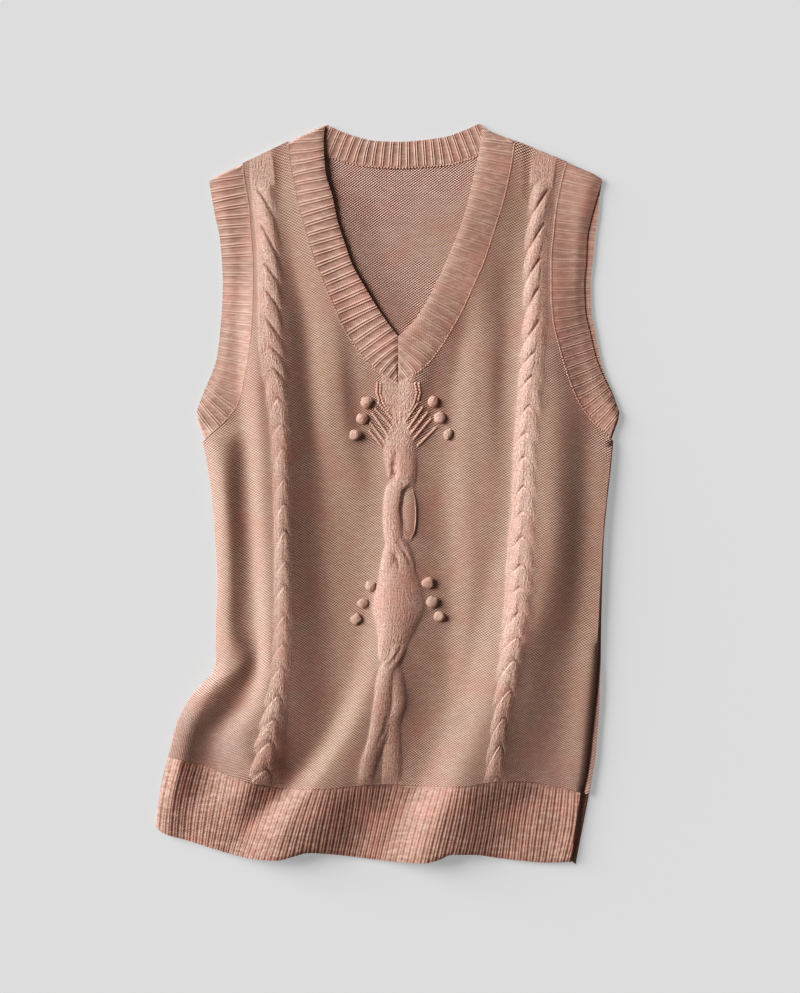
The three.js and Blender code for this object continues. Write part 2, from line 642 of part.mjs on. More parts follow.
// Bobbles knitted into the front: flattened balls that grow out of the wall
function withBobbles(body) {
  const solidOf = (geometry) => {
    const g = geometry.clone();
    g.deleteAttribute("normal");
    g.deleteAttribute("uv");
    const merged = mergeVertices(g, 1e-3);
    return new wasm.Manifold(
      new wasm.Mesh({
        numProp: 3,
        vertProperties: merged.attributes.position.array,
        triVerts: new Uint32Array(merged.index.array),
      }),
    );
  };
  let whole = solidOf(body);
  for (const { x, y } of BOBBLES) {
    const ball = new THREE.SphereGeometry(BOBBLE.radius, 9, 6);
    ball.rotateX(Math.PI / 2);
    ball.scale(1, 1, (BOBBLE.height + BOBBLE.sunk) / 2 / BOBBLE.radius);
    const base = FRONT_FLOOR + WALL + foldHeight(x, y) - BOBBLE.sunk;
    ball.translate(x, y, base + (BOBBLE.height + BOBBLE.sunk) / 2);
    whole = whole.add(solidOf(ball));
  }
  const mesh = whole.getMesh();
  const points = [];
  for (let i = 0; i < mesh.numVert; i += 1) {
    points.push(...mesh.vertProperties.subarray(i * mesh.numProp, i * mesh.numProp + 3));
  }
  const g = new THREE.BufferGeometry();
  g.setAttribute("position", new THREE.Float32BufferAttribute(points, 3));
  g.setIndex([...mesh.triVerts]);
  g.computeVertexNormals();
  return g;
}

// A flat piece lying on the table, cut along its outline
function flatPiece(outline) {
  const shape = new THREE.Shape(outline.map(([x, y]) => new THREE.Vector2(x, y)));
  return new THREE.ExtrudeGeometry(shape, { depth: WALL, bevelEnabled: false });
}
const BACK_INSET = 1.2;
const BACK_STEPS = { seam: 34, neck: 30, side: 14, hemSide: 6, armEach: 3 };
const BACK_SEAM_DROP = 0.25;
const BACK_SIDE = { top: UNDERARM_Y - 3, left: -246, right: -282 };
const BACK_HEM_SIDE = { leftTop: -256, leftLow: -314, rightTop: -290, rightLow: -356.4 };
const BACK_HEM_LOW = { left: -221.4, right: 176 };
const BACK_HEM_LIFT = { height: 1.6, x: -60, reach: 260 };
const CORNER_GAP = HALF_GAP + 0.1;
const backSeam = (shift) =>
  line(HEM_SEAM_ENDS.left + BACK_INSET, HEM_SEAM_ENDS.back, BACK_STEPS.seam, (x) => [
    x,
    read(HEM_SEAM, "x", "y", x) - Math.max(0, x - HEM_SEAM_ENDS.right) * BACK_SEAM_DROP + shift,
  ]);
function backBody() {
  const side = (column, shift, lowest) =>
    line(BACK_SIDE.top, lowest, BACK_STEPS.side, (y) => [read(SIDE, "y", column, y) + shift, y]);
  const neckFrom = SHOULDER_LEFT.neckX - HALF_GAP;
  const neckTo = SHOULDER_RIGHT.neckX + HALF_GAP;
  const neckLine = line(neckFrom, neckTo, BACK_STEPS.neck, (x) => [x, read(BACK_NECK, "x", "seam", x)]);
  const arm = (which) =>
    bodyArm[which].filter(
      (p, i, all) => p[1] < shoulderAt(p[0]) - 0.05 && (i % BACK_STEPS.armEach === 0 || i === all.length - 1),
    );
  return flatPiece([
    [SHOULDER_LEFT.armX + HALF_GAP, SHOULDER_LEFT.armY],
    ...arm("left"),
    ...side("left", BACK_INSET, BACK_SIDE.left),
    ...backSeam(HALF_GAP),
    ...side("back", 0, BACK_SIDE.right).reverse(),
    ...arm("right").reverse(),
    [SHOULDER_RIGHT.armX - HALF_GAP, SHOULDER_RIGHT.armY],
    [SHOULDER_RIGHT.neckX + CORNER_GAP, SHOULDER_RIGHT.neckY],
    ...moved(neckLine, -HALF_GAP).reverse(),
    [SHOULDER_LEFT.neckX - CORNER_GAP, SHOULDER_LEFT.neckY],
  ]);
}
function backHemRib() {
  const { height, x: middle, reach } = BACK_HEM_LIFT;
  const bottom = line(BACK_HEM_LOW.left, BACK_HEM_LOW.right, BACK_STEPS.seam, (x) => [
    x,
    read(HEM_EDGE, "x", "y", x) + height * bell((x - middle) / reach),
  ]);
  const right = line(BACK_HEM_SIDE.rightTop, BACK_HEM_SIDE.rightLow, BACK_STEPS.hemSide, (y) => [
    read(SIDE, "y", "back", y),
    y,
  ]);
  const left = line(BACK_HEM_SIDE.leftTop, BACK_HEM_SIDE.leftLow, BACK_STEPS.hemSide, (y) => [
    read(SIDE, "y", "left", y) + BACK_INSET,
    y,
  ]);
  return flatPiece([...backSeam(-HALF_GAP), ...right, ...bottom.reverse(), ...left.reverse()]);
}

// Front hem rib: a wall under the hem seam, ribbed outside, with the front's folds running out of it
const HEM_RIB_SHARE = { crest: 0.26, foot: 0.52 };
const HEM_SIDE_BULGE = { width: 2, reach: 1 / 6 };
function frontHemRib() {
  const ribs = HEM_RIBS.front;
  const shares = [];
  for (let k = 0; k < ribs; k += 1) {
    shares.push({ u: k / ribs, up: 0, kept: true });
    shares.push({ u: (k + HEM_RIB_SHARE.crest) / ribs, up: 1, kept: false });
    shares.push({ u: (k + HEM_RIB_SHARE.foot) / ribs, up: 0, kept: false });
  }
  shares.push({ u: 1, up: 0, kept: true });
  const rows = HEM_RIBS.rows;
  const grid = Array.from({ length: rows + 1 }, (_, j) =>
    shares.map(({ u, up, kept }) => {
      const v = j / rows;
      const topX = mix(HEM_SEAM_ENDS.left, HEM_SEAM_ENDS.right, u);
      const lowX = mix(HEM_EDGE_ENDS.left, HEM_EDGE_ENDS.right, u);
      const topY = read(HEM_SEAM, "x", "y", topX) - HALF_GAP;
      const lowY = read(HEM_EDGE, "x", "y", lowX);
      const y = mix(topY, lowY, v);
      const outward = (u < 0.5 ? -1 : 1) * bell(Math.min(u, 1 - u) / HEM_SIDE_BULGE.reach);
      const x = mix(topX, lowX, v) + outward * HEM_SIDE_BULGE.width * Math.sin(Math.PI * v);
      const inner = FRONT_FLOOR + foldHeight(x, y);
      return { outer: [x, y, inner + WALL + RIB_HEIGHT * up], inner: [x, y, inner], kept };
    }),
  );
  const surface = new Surface();
  for (let j = 0; j < rows; j += 1) {
    for (let i = 0; i < shares.length - 1; i += 1) {
      const [a, b, c, d] = [grid[j][i], grid[j][i + 1], grid[j + 1][i + 1], grid[j + 1][i]];
      surface.triangle(b.outer, a.outer, d.outer);
      surface.triangle(b.outer, d.outer, c.outer);
    }
    for (let i = 0; i < shares.length - 3; i += 3) {
      const [a, b, c, d] = [grid[j][i], grid[j][i + 3], grid[j + 1][i + 3], grid[j + 1][i]];
      surface.triangle(a.inner, b.inner, d.inner);
      surface.triangle(d.inner, b.inner, c.inner);
    }
  }
  const last = shares.length - 1;
  const rim = [];
  for (let j = 0; j < rows; j += 1) rim.push({ ...grid[j][0], kept: true });
  for (let i = 0; i < last; i += 1) rim.push(grid[rows][i]);
  for (let j = rows; j > 0; j -= 1) rim.push({ ...grid[j][last], kept: true });
  for (let i = last; i > 0; i -= 1) rim.push(grid[0][i]);
  closeRim(surface, rim);
  return surface.geometry();
}

// One cross section of a band: seam point, free edge point, turn angle and rib
const INSIDE_RIB_SHARE = 0.6;
function bandSection(seam, edge, angle, toward, rib, mitre = false) {
  const flat = Math.abs(angle) === 90;
  const turn = (angle * Math.PI) / 180;
  const point = (p, radius, extra) => {
    const lift = angle === 90 ? foldHeight(p[0], p[1]) : 0;
    const r = radius + extra;
    return [
      p[0] + toward[0] * Math.cos(turn) * r,
      p[1] + toward[1] * Math.cos(turn) * r,
      TURN_AXIS + Math.sin(turn) * r + lift,
    ];
  };
  const outsideRib = angle > -90 ? rib : 0;
  const insideRib = flat && angle < 0 ? -rib * INSIDE_RIB_SHARE : 0;
  return {
    seamOut: point(seam, TURN_OUTSIDE, outsideRib),
    edgeOut: point(edge, TURN_OUTSIDE, outsideRib),
    seamIn: point(seam, TURN_INSIDE, insideRib),
    edgeIn: point(edge, TURN_INSIDE, insideRib),
    mitre,
  };
}
function bandSurface(sections, closed) {
  const surface = new Surface();
  const count = closed ? sections.length : sections.length - 1;
  for (let i = 0; i < count; i += 1) {
    const a = sections[i];
    const b = sections[(i + 1) % sections.length];
    surface.quad(a.seamOut, a.edgeOut, b.edgeOut, b.seamOut);
    surface.quad(a.seamIn, b.seamIn, b.edgeIn, a.edgeIn);
    surface.quad(a.seamOut, b.seamOut, b.seamIn, a.seamIn);
    if (!(a.mitre && b.mitre)) surface.quad(a.edgeOut, a.edgeIn, b.edgeIn, b.edgeOut);
  }
  return surface.geometry();
}
const ribSteps = (count) =>
  Array.from({ length: count }, (_, k) => [
    { share: k / count, rib: 0 },
    { share: (k + RIB_SHARE / 2) / count, rib: RIB_HEIGHT },
    { share: (k + RIB_SHARE) / count, rib: 0 },
  ]).flat();

// Neckband: one ribbed strip from the mitre at the V, over each shoulder fold and behind the neck
const EDGE_STEPS = 120;
const BACK_NECK_STEPS = 80;
const TIP_CLEARANCE = 0.3;
function neckband() {
  const total = NECK_RIBS.mitre + NECK_RIBS.front;
  const mitreShare = NECK_RIBS.mitre / total;
  const tip = [VEE.x, VEE.seam + TIP_GAP];
  const belowShoulder = (p) => p[1] < shoulderAt(p[0]) - TURN_OUTSIDE;
  const frontSide = (side) => {
    const sign = side === "left" ? 1 : -1;
    const seam = moved(neckSeam(side), sign * HALF_GAP).filter(belowShoulder);
    const seamUp = [tip, ...seam.filter((p) => sign * (VEE.x - p[0]) > TIP_CLEARANCE).reverse()];
    const edge = line(VEE.edge, BAND_TOPS.neck, EDGE_STEPS, (y) => [read(NECK_EDGE, "y", side, y), y]);
    const edgeUp = edge.filter(belowShoulder);
    return [...ribSteps(total), { share: 1, rib: 0 }].map(({ share, rib }) => {
      const onMitre = share <= mitreShare + 1e-9;
      const e = onMitre
        ? [VEE.x, mix(tip[1], VEE.edge, share / mitreShare)]
        : pointAlong(edgeUp, (share - mitreShare) / (1 - mitreShare));
      const s = share === 0 ? tip : pointAlong(seamUp, share);
      return bandSection(s, e, 90, [0, 0], rib, onMitre);
    });
  };
  const left = frontSide("left");
  const right = frontSide("right");
  const turns = (last, up) => {
    const angles = Array.from({ length: NECK_RIBS.turn - 1 }, (_, i) => 90 - (180 * (i + 1)) / NECK_RIBS.turn);
    const seam = [last.seamIn[0], last.seamIn[1]];
    const edge = [last.edgeIn[0], last.edgeIn[1]];
    return (up ? angles : angles.reverse()).map((angle) => bandSection(seam, edge, angle, [0, 1], 0));
  };
  const leftTop = left[left.length - 1];
  const rightTop = right[right.length - 1];
  const behind = (from, to, column) =>
    line(from[0], to[0], BACK_NECK_STEPS, (x) => [x, read(BACK_NECK, "x", column, x)]);
  const seamBehind = moved(behind(leftTop.seamIn, rightTop.seamIn, "seam"), HALF_GAP);
  const edgeBehind = behind(leftTop.edgeIn, rightTop.edgeIn, "edge");
  seamBehind[0] = leftTop.seamIn.slice(0, 2);
  edgeBehind[0] = leftTop.edgeIn.slice(0, 2);
  seamBehind[BACK_NECK_STEPS] = rightTop.seamIn.slice(0, 2);
  edgeBehind[BACK_NECK_STEPS] = rightTop.edgeIn.slice(0, 2);
  const back = [...ribSteps(NECK_RIBS.back), { share: 1, rib: 0 }].map(({ share, rib }) =>
    bandSection(pointAlong(seamBehind, share), pointAlong(edgeBehind, share), -90, [0, 0], rib),
  );
  return bandSurface(
    [...left, ...turns(leftTop, true), ...back, ...turns(rightTop, false), ...right.reverse()],
    false,
  );
}

// Armhole band: a ribbed loop, front layer down to the underarm fold, back layer up to the shoulder fold
const UNDERARM_CLEARANCE = { seam: 2.4, edge: 1.4 };
const ARM_FOLDS = {
  left: { underarm: [-0.72, -0.69], shoulder: [-0.13, 0.99] },
  right: { underarm: [0.72, -0.69], shoulder: [0.26, 0.965] },
};
const BACK_LAYER_INSET = 0.6;
function armholeBand(side) {
  const sign = side === "left" ? 1 : -1;
  const between = (lowest) => (p) => p[1] < shoulderAt(p[0]) - TURN_OUTSIDE && p[1] > lowest;
  const seam = moved(armSeam(side), -sign * HALF_GAP).filter(between(UNDERARM_Y + UNDERARM_CLEARANCE.seam));
  const edge = line(BAND_TOPS.arm, BAND_END.y, EDGE_STEPS, (y) => [read(ARM_EDGE, "y", side, y), y]).filter(
    between(BAND_END.y + UNDERARM_CLEARANCE.edge),
  );
  const { underarm, shoulder } = ARM_FOLDS[side];
  const angles = Array.from({ length: ARM_RIBS.turn - 1 }, (_, i) => 90 - (180 * (i + 1)) / ARM_RIBS.turn);
  const front = [...ribSteps(ARM_RIBS.front), { share: 1, rib: 0 }].map(({ share, rib }) =>
    bandSection(pointAlong(seam, share), pointAlong(edge, share), 90, [0, 0], rib),
  );
  const back = Array.from({ length: ARM_RIBS.back + 1 }, (_, i) => 1 - i / ARM_RIBS.back).map((share) => {
    const e = pointAlong(edge, share);
    const atFold = share < 0.001 || share > 0.999;
    const past = side === "right" ? read(ARM_EDGE, "y", "past", e[1]) : -BACK_LAYER_INSET;
    return bandSection(pointAlong(seam, share), [e[0] - sign * (atFold ? 0 : past), e[1]], -90, [0, 0], 0);
  });
  const low = [pointAlong(seam, 1), pointAlong(edge, 1)];
  const high = [pointAlong(seam, 0), pointAlong(edge, 0)];
  const sections = [
    ...front,
    ...angles.map((angle) => bandSection(low[0], low[1], angle, underarm, 0)),
    ...back,
    ...[...angles].reverse().map((angle) => bandSection(high[0], high[1], angle, shoulder, 0)),
  ];
  return bandSurface(sections, true);
}

// Makes sure that a closed surface faces outwards
function facingOut(geometry) {
  const p = geometry.attributes.position;
  const at = (i) => new THREE.Vector3().fromBufferAttribute(p, i);
  const index = geometry.index ? [...geometry.index.array] : Array.from({ length: p.count }, (_, i) => i);
  let volume = 0;
  for (let i = 0; i < index.length; i += 3) {
    volume += at(index[i]).dot(at(index[i + 1]).cross(at(index[i + 2])));
  }
  if (volume < 0) {
    for (let i = 0; i < index.length; i += 3) [index[i + 1], index[i + 2]] = [index[i + 2], index[i + 1]];
  }
  geometry.setIndex(index);
  geometry.computeVertexNormals();
  return geometry;
}

const group = new THREE.Group();
function add(name, geometry, color) {
  const material = new THREE.MeshStandardMaterial({ color, roughness: 0.95, metalness: 0 });
  const mesh = new THREE.Mesh(facingOut(geometry), material);
  mesh.name = name;
  group.add(mesh);
}
add("back_body", backBody(), 0xb89480);
add("back_hem_rib", backHemRib(), 0xb08b78);
add("front_body", withBobbles(facingOut(frontBody())), 0xbe9a87);
add("front_hem_rib", frontHemRib(), 0xb38e7b);
add("neckband", neckband(), 0xb99583);
add("armhole_band_left", armholeBand("left"), 0xb99583);
add("armhole_band_right", armholeBand("right"), 0xb99583);

export default group;
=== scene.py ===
import math

import bmesh
import bpy
import numpy as np
from mathutils import Matrix, Vector
from mathutils import noise as turbulence


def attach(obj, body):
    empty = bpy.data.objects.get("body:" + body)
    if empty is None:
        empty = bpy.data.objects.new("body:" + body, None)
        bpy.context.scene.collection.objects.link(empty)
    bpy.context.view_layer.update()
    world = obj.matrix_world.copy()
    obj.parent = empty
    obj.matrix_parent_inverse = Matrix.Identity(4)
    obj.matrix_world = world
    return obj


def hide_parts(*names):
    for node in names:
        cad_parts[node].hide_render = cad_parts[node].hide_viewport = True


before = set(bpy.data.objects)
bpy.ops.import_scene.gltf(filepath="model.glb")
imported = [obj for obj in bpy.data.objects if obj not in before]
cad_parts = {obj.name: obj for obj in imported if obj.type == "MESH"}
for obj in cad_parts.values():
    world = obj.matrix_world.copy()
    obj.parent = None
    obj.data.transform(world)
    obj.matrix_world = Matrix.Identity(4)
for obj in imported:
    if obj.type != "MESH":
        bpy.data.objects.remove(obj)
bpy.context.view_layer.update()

# Back body
# The back of the vest is one flat panel of soft wool knitted in purl, shaped at the neck, shoulders and
# armholes. It lies on the table, and the ribbed bands are linked on round its edges.

# Sizes are in millimetres, with x to the right and y up the picture
MM = 0.001
WALL = 2.2
SEAM_GAP = 0.2
HALF_GAP = SEAM_GAP / 2
# The wall thins out to this at the side seams, over this width
EDGE_WALL = 1.2
EDGE_ROUND = 1.2
BACK_INSET = 1.2
BACK_GRID = {"columns": 120, "rows": 186, "coarse": 3}
BACK_TOP_Y = 318.7
UNDERARM_Y = 51.8
HEM_Y = -279
VEE_X = 9.6
SHOULDER_LEFT = {"neck_x": -96, "neck_y": 339.8, "arm_x": -140.2, "arm_y": 318.7}
SHOULDER_RIGHT = {"neck_x": 121.9, "neck_y": 340.8, "arm_x": 171.8, "arm_y": 320.6}
STITCH_WIDTH = 3.35
STITCH_HEIGHT = 2.42


def table(names, *rows):
    """A short table of sizes in millimetres: its column names, then its rows."""
    return {name: np.array([row[i] for row in rows], float) for i, name in enumerate(names.split())}


BACK_NECK = table(
    "x seam edge",
    (-95.9, 336.8, 356),
    (-78, 332, 357),
    (-60.5, 326.4, 356),
    (-48, 322.6, 350.4),
    (-29.8, 317.8, 344),
    (-11.5, 315.8, 340.2),
    (10.6, 314.9, 339.4),
    (31.7, 315.8, 340.8),
    (56.6, 317.8, 344.5),
    (74.9, 322.6, 351),
    (90.9, 328, 357),
    (121.8, 337.8, 357),
)
ARM_SEAM = table(
    "y left right",
    (321, -140.2, 171.8),
    (300, -137.6, 166.4),
    (275, -133.4, 161.6),
    (250, -131.8, 158.8),
    (225, -129.8, 156.7),
    (195, -129.6, 156.7),
    (165, -130.6, 159),
    (140, -133.3, 165),
    (115, -137.3, 172.6),
    (90, -143.4, 183),
    (70, -157.8, 197.5),
    (51.8, -178.6, 216.5),
)
SIDE = table(
    "y left right back",
    (51.8, -178.6, 216.5, 216.5),
    (28, -173.8, 214.4, 214.4),
    (-6, -169, 210.6, 210.6),
    (-41, -166.4, 207.4, 207.6),
    (-87, -164.2, 205.2, 206),
    (-133, -165.8, 202.6, 204.8),
    (-158, -165.6, 201.4, 204.4),
    (-170, -168.6, 200.6, 204.2),
    (-182, -180, 199.6, 204),
    (-200, -194, 197.8, 203.5),
    (-220, -203.6, 195.8, 202),
    (-250, -211, 192.8, 199.4),
    (-272, -216, 189.4, 196),
    (-287, -219.4, 186, 193.4),
    (-318, -223.8, 181.4, 187.6),
    (-352, -224, 176.4, 180.6),
)
HEM_SEAM = table(
    "x y",
    (-211.4, -251.5),
    (-180, -258.6),
    (-150, -270),
    (-116, -279.4),
    (-92, -282),
    (-60, -281),
    (-7, -278),
    (30, -279.2),
    (70, -279),
    (104, -274.6),
    (130, -275),
    (156, -279),
    (186, -286),
)
VEE_EDGE_Y = 151.7
NECK_EDGE = table(
    "y left right",
    (358, -60.5, 91.2),
    (340, -62.2, 89.6),
    (311, -60.5, 83.6),
    (287, -53.8, 78.4),
    (264, -49, 72),
    (240, -41.3, 63),
    (221, -34.6, 54.9),
    (200, -23, 45),
    (178, -9.6, 33),
    (164, 0, 22.5),
    (151.7, 9.6, 9.6),
)
# How far the back rises beside the V, and in the strip that shows past the front
BACK_RISE = 4.3
BACK_STRIP_RISE = 3.2
BACK_WAVE = 0.17
FRONT_HEM_END = 186


def read(rows, key, column, at):
    """Smooth reading of a column between the rows of a table, without overshoot."""
    order = np.argsort(rows[key])
    k, v = rows[key][order], rows[column][order]
    slope = np.diff(v) / np.diff(k)
    before, after = slope[:-1], slope[1:]
    same = before * after > 0
    inner = np.where(same, 2 * before * after / np.where(same, before + after, 1), 0)
    tangent = np.concatenate([slope[:1], inner, slope[-1:]])
    at = np.clip(np.asarray(at, float), k[0], k[-1])
    i = np.clip(np.searchsorted(k, at, side="right") - 1, 0, len(k) - 2)
    span = k[i + 1] - k[i]
    t = (at - k[i]) / span
    t2, t3 = t * t, t * t * t
    start = (2 * t3 - 3 * t2 + 1) * v[i] + (t3 - 2 * t2 + t) * span * tangent[i]
    return start + (3 * t2 - 2 * t3) * v[i + 1] + (t3 - t2) * span * tangent[i + 1]


def mix(a, b, t):
    return a + (b - a) * t


def ease(t):
    c = np.clip(t, 0, 1)
    return 1 - (1 - c) * (1 - c)


def bell(t):
    return np.where(np.abs(t) < 1, (1 + np.cos(np.pi * t)) / 2, 0)


def smooth(t):
    c = np.clip(t, 0, 1)
    return c * c * (3 - 2 * c)


def shoulder_at(x):
    """Shoulder line above a point of the front or back."""
    left = np.asarray(x) < VEE_X
    s, t = SHOULDER_LEFT, SHOULDER_RIGHT
    on_left = s["neck_y"] + (x - s["neck_x"]) * (s["arm_y"] - s["neck_y"]) / (s["arm_x"] - s["neck_x"])
    on_right = t["neck_y"] + (x - t["neck_x"]) * (t["arm_y"] - t["neck_y"]) / (t["arm_x"] - t["neck_x"])
    return np.where(left, on_left, on_right)


def flat_shell(columns, rows, coarse, slit_row=None):
    """Two flat grids, the outer one fine and the inner one coarse, bridged round the rim.

    A slit row opens both grids along the middle, from their far edge down to that row.
    """
    bm = bmesh.new()
    for level, share in ((0.02, 1), (-0.02, coarse)):
        bmesh.ops.create_grid(
            bm,
            x_segments=columns // share,
            y_segments=rows // share,
            size=0.5,
            matrix=Matrix.Translation((0, 0, level)),
        )
    if slit_row is not None:
        lowest = 0.5 - slit_row / rows - 1e-4
        cut = [e for e in bm.edges if all(abs(v.co.x) < 1e-5 and v.co.y > lowest for v in e.verts)]
        bmesh.ops.split_edges(bm, edges=cut)
        for v in bm.verts:
            if abs(v.co.x) < 1e-5 and v.co.y > lowest + 2e-4:
                side = sum(f.calc_center_median().x for f in v.link_faces)
                v.co.x = math.copysign(0.1 / columns, side)
    bmesh.ops.bridge_loops(bm, edges=[e for e in bm.edges if e.is_boundary])
    bmesh.ops.recalc_face_normals(bm, faces=bm.faces)
    for f in bm.faces:
        f.smooth = True
    return bm


def put_in_scene(name, data):
    piece = bpy.data.objects.new(name, data)
    bpy.context.collection.objects.link(piece)
    return piece


def knitted(name, bm, place, closed=False):
    """Gives each point of a flat shell its real place, its stitch coordinates and its masks.

    A closed strip has no end faces, and its two ends are joined.
    """
    if closed:
        ends = [f for f in bm.faces if all(abs(abs(v.co.x) - 0.5) < 1e-5 for v in f.verts)]
        bmesh.ops.delete(bm, geom=ends, context="FACES_ONLY")
    mesh = bpy.data.meshes.new(name)
    bm.to_mesh(mesh)
    bm.free()
    count = len(mesh.vertices)
    start = np.empty(count * 3)
    mesh.vertices.foreach_get("co", start)
    start = start.reshape(-1, 3)
    points, stitches, masks = place(start[:, 0] + 0.5, 0.5 - start[:, 1], start[:, 2] > 0)
    mesh.vertices.foreach_set("co", (points * MM).astype(np.float32).ravel())
    corner = np.empty(len(mesh.loops), np.int32)
    mesh.loops.foreach_get("vertex_index", corner)
    uv = mesh.uv_layers.new(name="stitches")
    uv.data.foreach_set("uv", stitches[corner].astype(np.float32).ravel())
    for mask, values in masks.items():
        layer = mesh.attributes.new(mask, "FLOAT", "POINT")
        layer.data.foreach_set("value", values.astype(np.float32))
    if closed:
        bm = bmesh.new()
        bm.from_mesh(mesh)
        bmesh.ops.remove_doubles(bm, verts=bm.verts, dist=2e-5)
        bm.to_mesh(mesh)
        bm.free()
    mesh.set_sharp_from_angle(angle=math.radians(65))
    mesh.update()
    return put_in_scene(name, mesh)


def value(tree, operation, *inputs):
    """A Math node with its inputs set or linked."""
    node = tree.nodes.new("ShaderNodeMath")
    node.operation = operation
    for socket, given in zip(node.inputs, inputs):
        if isinstance(given, bpy.types.NodeSocket):
            tree.links.new(given, socket)
        else:
            socket.default_value = given
    return node.outputs[0]


def blend(tree, factor, a, b, kind="FLOAT"):
    """A Mix node of numbers or of colours."""
    node = tree.nodes.new("ShaderNodeMix")
    node.data_type = kind
    start = 2 if kind == "FLOAT" else 6
    for socket, given in ((node.inputs[0], factor), (node.inputs[start], a), (node.inputs[start + 1], b)):
        if isinstance(given, bpy.types.NodeSocket):
            tree.links.new(given, socket)
        else:
            socket.default_value = given
    return node.outputs[0 if kind == "FLOAT" else 2]


def noise(tree, vector, scale, detail=2.0, stretch=None):
    """A Noise node on the given coordinates, stretched where asked."""
    if stretch:
        mapping = tree.nodes.new("ShaderNodeMapping")
        mapping.inputs["Scale"].default_value = stretch
        tree.links.new(vector, mapping.inputs["Vector"])
        vector = mapping.outputs[0]
    node = tree.nodes.new("ShaderNodeTexNoise")
    node.inputs["Scale"].default_value = scale
    node.inputs["Detail"].default_value = detail
    tree.links.new(vector, node.inputs["Vector"])
    return node.outputs[0]


def attribute(tree, name):
    node = tree.nodes.new("ShaderNodeAttribute")
    node.attribute_name = name
    return node.outputs["Fac"]


def group(name, inputs, outputs):
    """An empty shader node group with its sockets, and its two end nodes."""
    tree = bpy.data.node_groups.new(name, "ShaderNodeTree")
    for direction, sockets in (("INPUT", inputs), ("OUTPUT", outputs)):
        for label, kind in sockets:
            tree.interface.new_socket(label, in_out=direction, socket_type="NodeSocket" + kind)
    return tree, tree.nodes.new("NodeGroupInput").outputs, tree.nodes.new("NodeGroupOutput").inputs


def knit_stitches():
    """Height of the stitches: purl bumps in a half-drop lattice or columns of plain V stitches, with fuzz."""
    inputs = (("Stitch", "Vector"), ("Place", "Vector"), ("Plain", "Float"))
    tree, given, out = group("knit_stitches", inputs, (("Height", "Float"),))
    split = tree.nodes.new("ShaderNodeSeparateXYZ")
    tree.links.new(given["Stitch"], split.inputs[0])
    wobble = noise(tree, given["Stitch"], 0.22)
    drift = value(tree, "MULTIPLY", value(tree, "SUBTRACT", wobble, 0.5), 0.5)
    across = value(tree, "ADD", split.outputs[0], drift)
    along = value(tree, "ADD", split.outputs[1], drift)
    wave_across = value(tree, "COSINE", value(tree, "MULTIPLY", across, 2 * math.pi))
    wave_along = value(tree, "COSINE", value(tree, "MULTIPLY", along, 2 * math.pi))
    purl = value(tree, "MULTIPLY_ADD", value(tree, "MULTIPLY", wave_across, wave_along), 0.5, 0.5)
    purl = value(tree, "POWER", purl, 0.95)
    leg = value(tree, "ABSOLUTE", value(tree, "SUBTRACT", value(tree, "FRACT", across), 0.5))
    slant = value(tree, "SUBTRACT", along, value(tree, "MULTIPLY", leg, 1.3))
    legs = value(tree, "COSINE", value(tree, "MULTIPLY", slant, 2 * math.pi))
    groove = value(tree, "MULTIPLY", wave_across, -0.02)
    plain = value(tree, "ADD", value(tree, "MULTIPLY_ADD", legs, 0.04, 0.51), groove)
    fuzz = value(tree, "SUBTRACT", noise(tree, given["Place"], 780.0, 3.0), 0.5)
    fuzzy = value(tree, "MULTIPLY_ADD", given["Plain"], 0.9, 0.25)
    height = blend(tree, given["Plain"], purl, plain)
    height = value(tree, "ADD", height, value(tree, "MULTIPLY", fuzz, fuzzy))
    tree.links.new(height, out["Height"])
    return tree


# Fibres spun into the wool, pale streaks, broad reddish clouds and fine bright specks: scale, detail and
# stretch of their noise, the level above which they show, how strongly, and their colour
FIBRES = (
    (240, 2, (0.5, 1.6, 1), 0.42, 0.9, (0.85, 0.62, 0.52, 1)),
    (34, 4, None, 0.45, 1.5, (0.6, 0.28, 0.23, 1)),
    (900, 2, None, 0.55, 1.2, (0.9, 0.7, 0.6, 1)),
)


def heather_wool():
    """Colour of the wool: the pits between stitches darkened as painted shade and the stitch tops lightened
    as painted highlight, with paler and redder fibres spun in.
    """
    inputs = (("Place", "Vector"), ("Shade", "Float"), ("Light", "Color"), ("Dark", "Color"))
    tree, given, out = group("heather_wool", inputs, (("Color", "Color"),))
    # Painted shade and highlight: the shade value mixes the dark colour into the pits and the light one onto
    # the stitch tops
    tone = blend(tree, value(tree, "MINIMUM", given["Shade"], 1.0), given["Dark"], given["Light"], "RGBA")
    for scale, detail, stretch, level, strength, colour in FIBRES:
        fibre = value(tree, "SUBTRACT", noise(tree, given["Place"], scale, detail, stretch), level)
        share = value(tree, "MULTIPLY", value(tree, "MAXIMUM", fibre, 0.0), strength)
        tone = blend(tree, share, tone, colour, "RGBA")
    tree.links.new(tone, out["Color"])
    return tree


STITCHES = knit_stitches()
HEATHER = heather_wool()
WOOL_FINISH = {
    "Roughness": 0.95,
    "Specular IOR Level": 0.12,
    "Sheen Weight": 0.15,
    "Sheen Roughness": 0.45,
    "Sheen Tint": (1.0, 0.86, 0.8, 1),
}


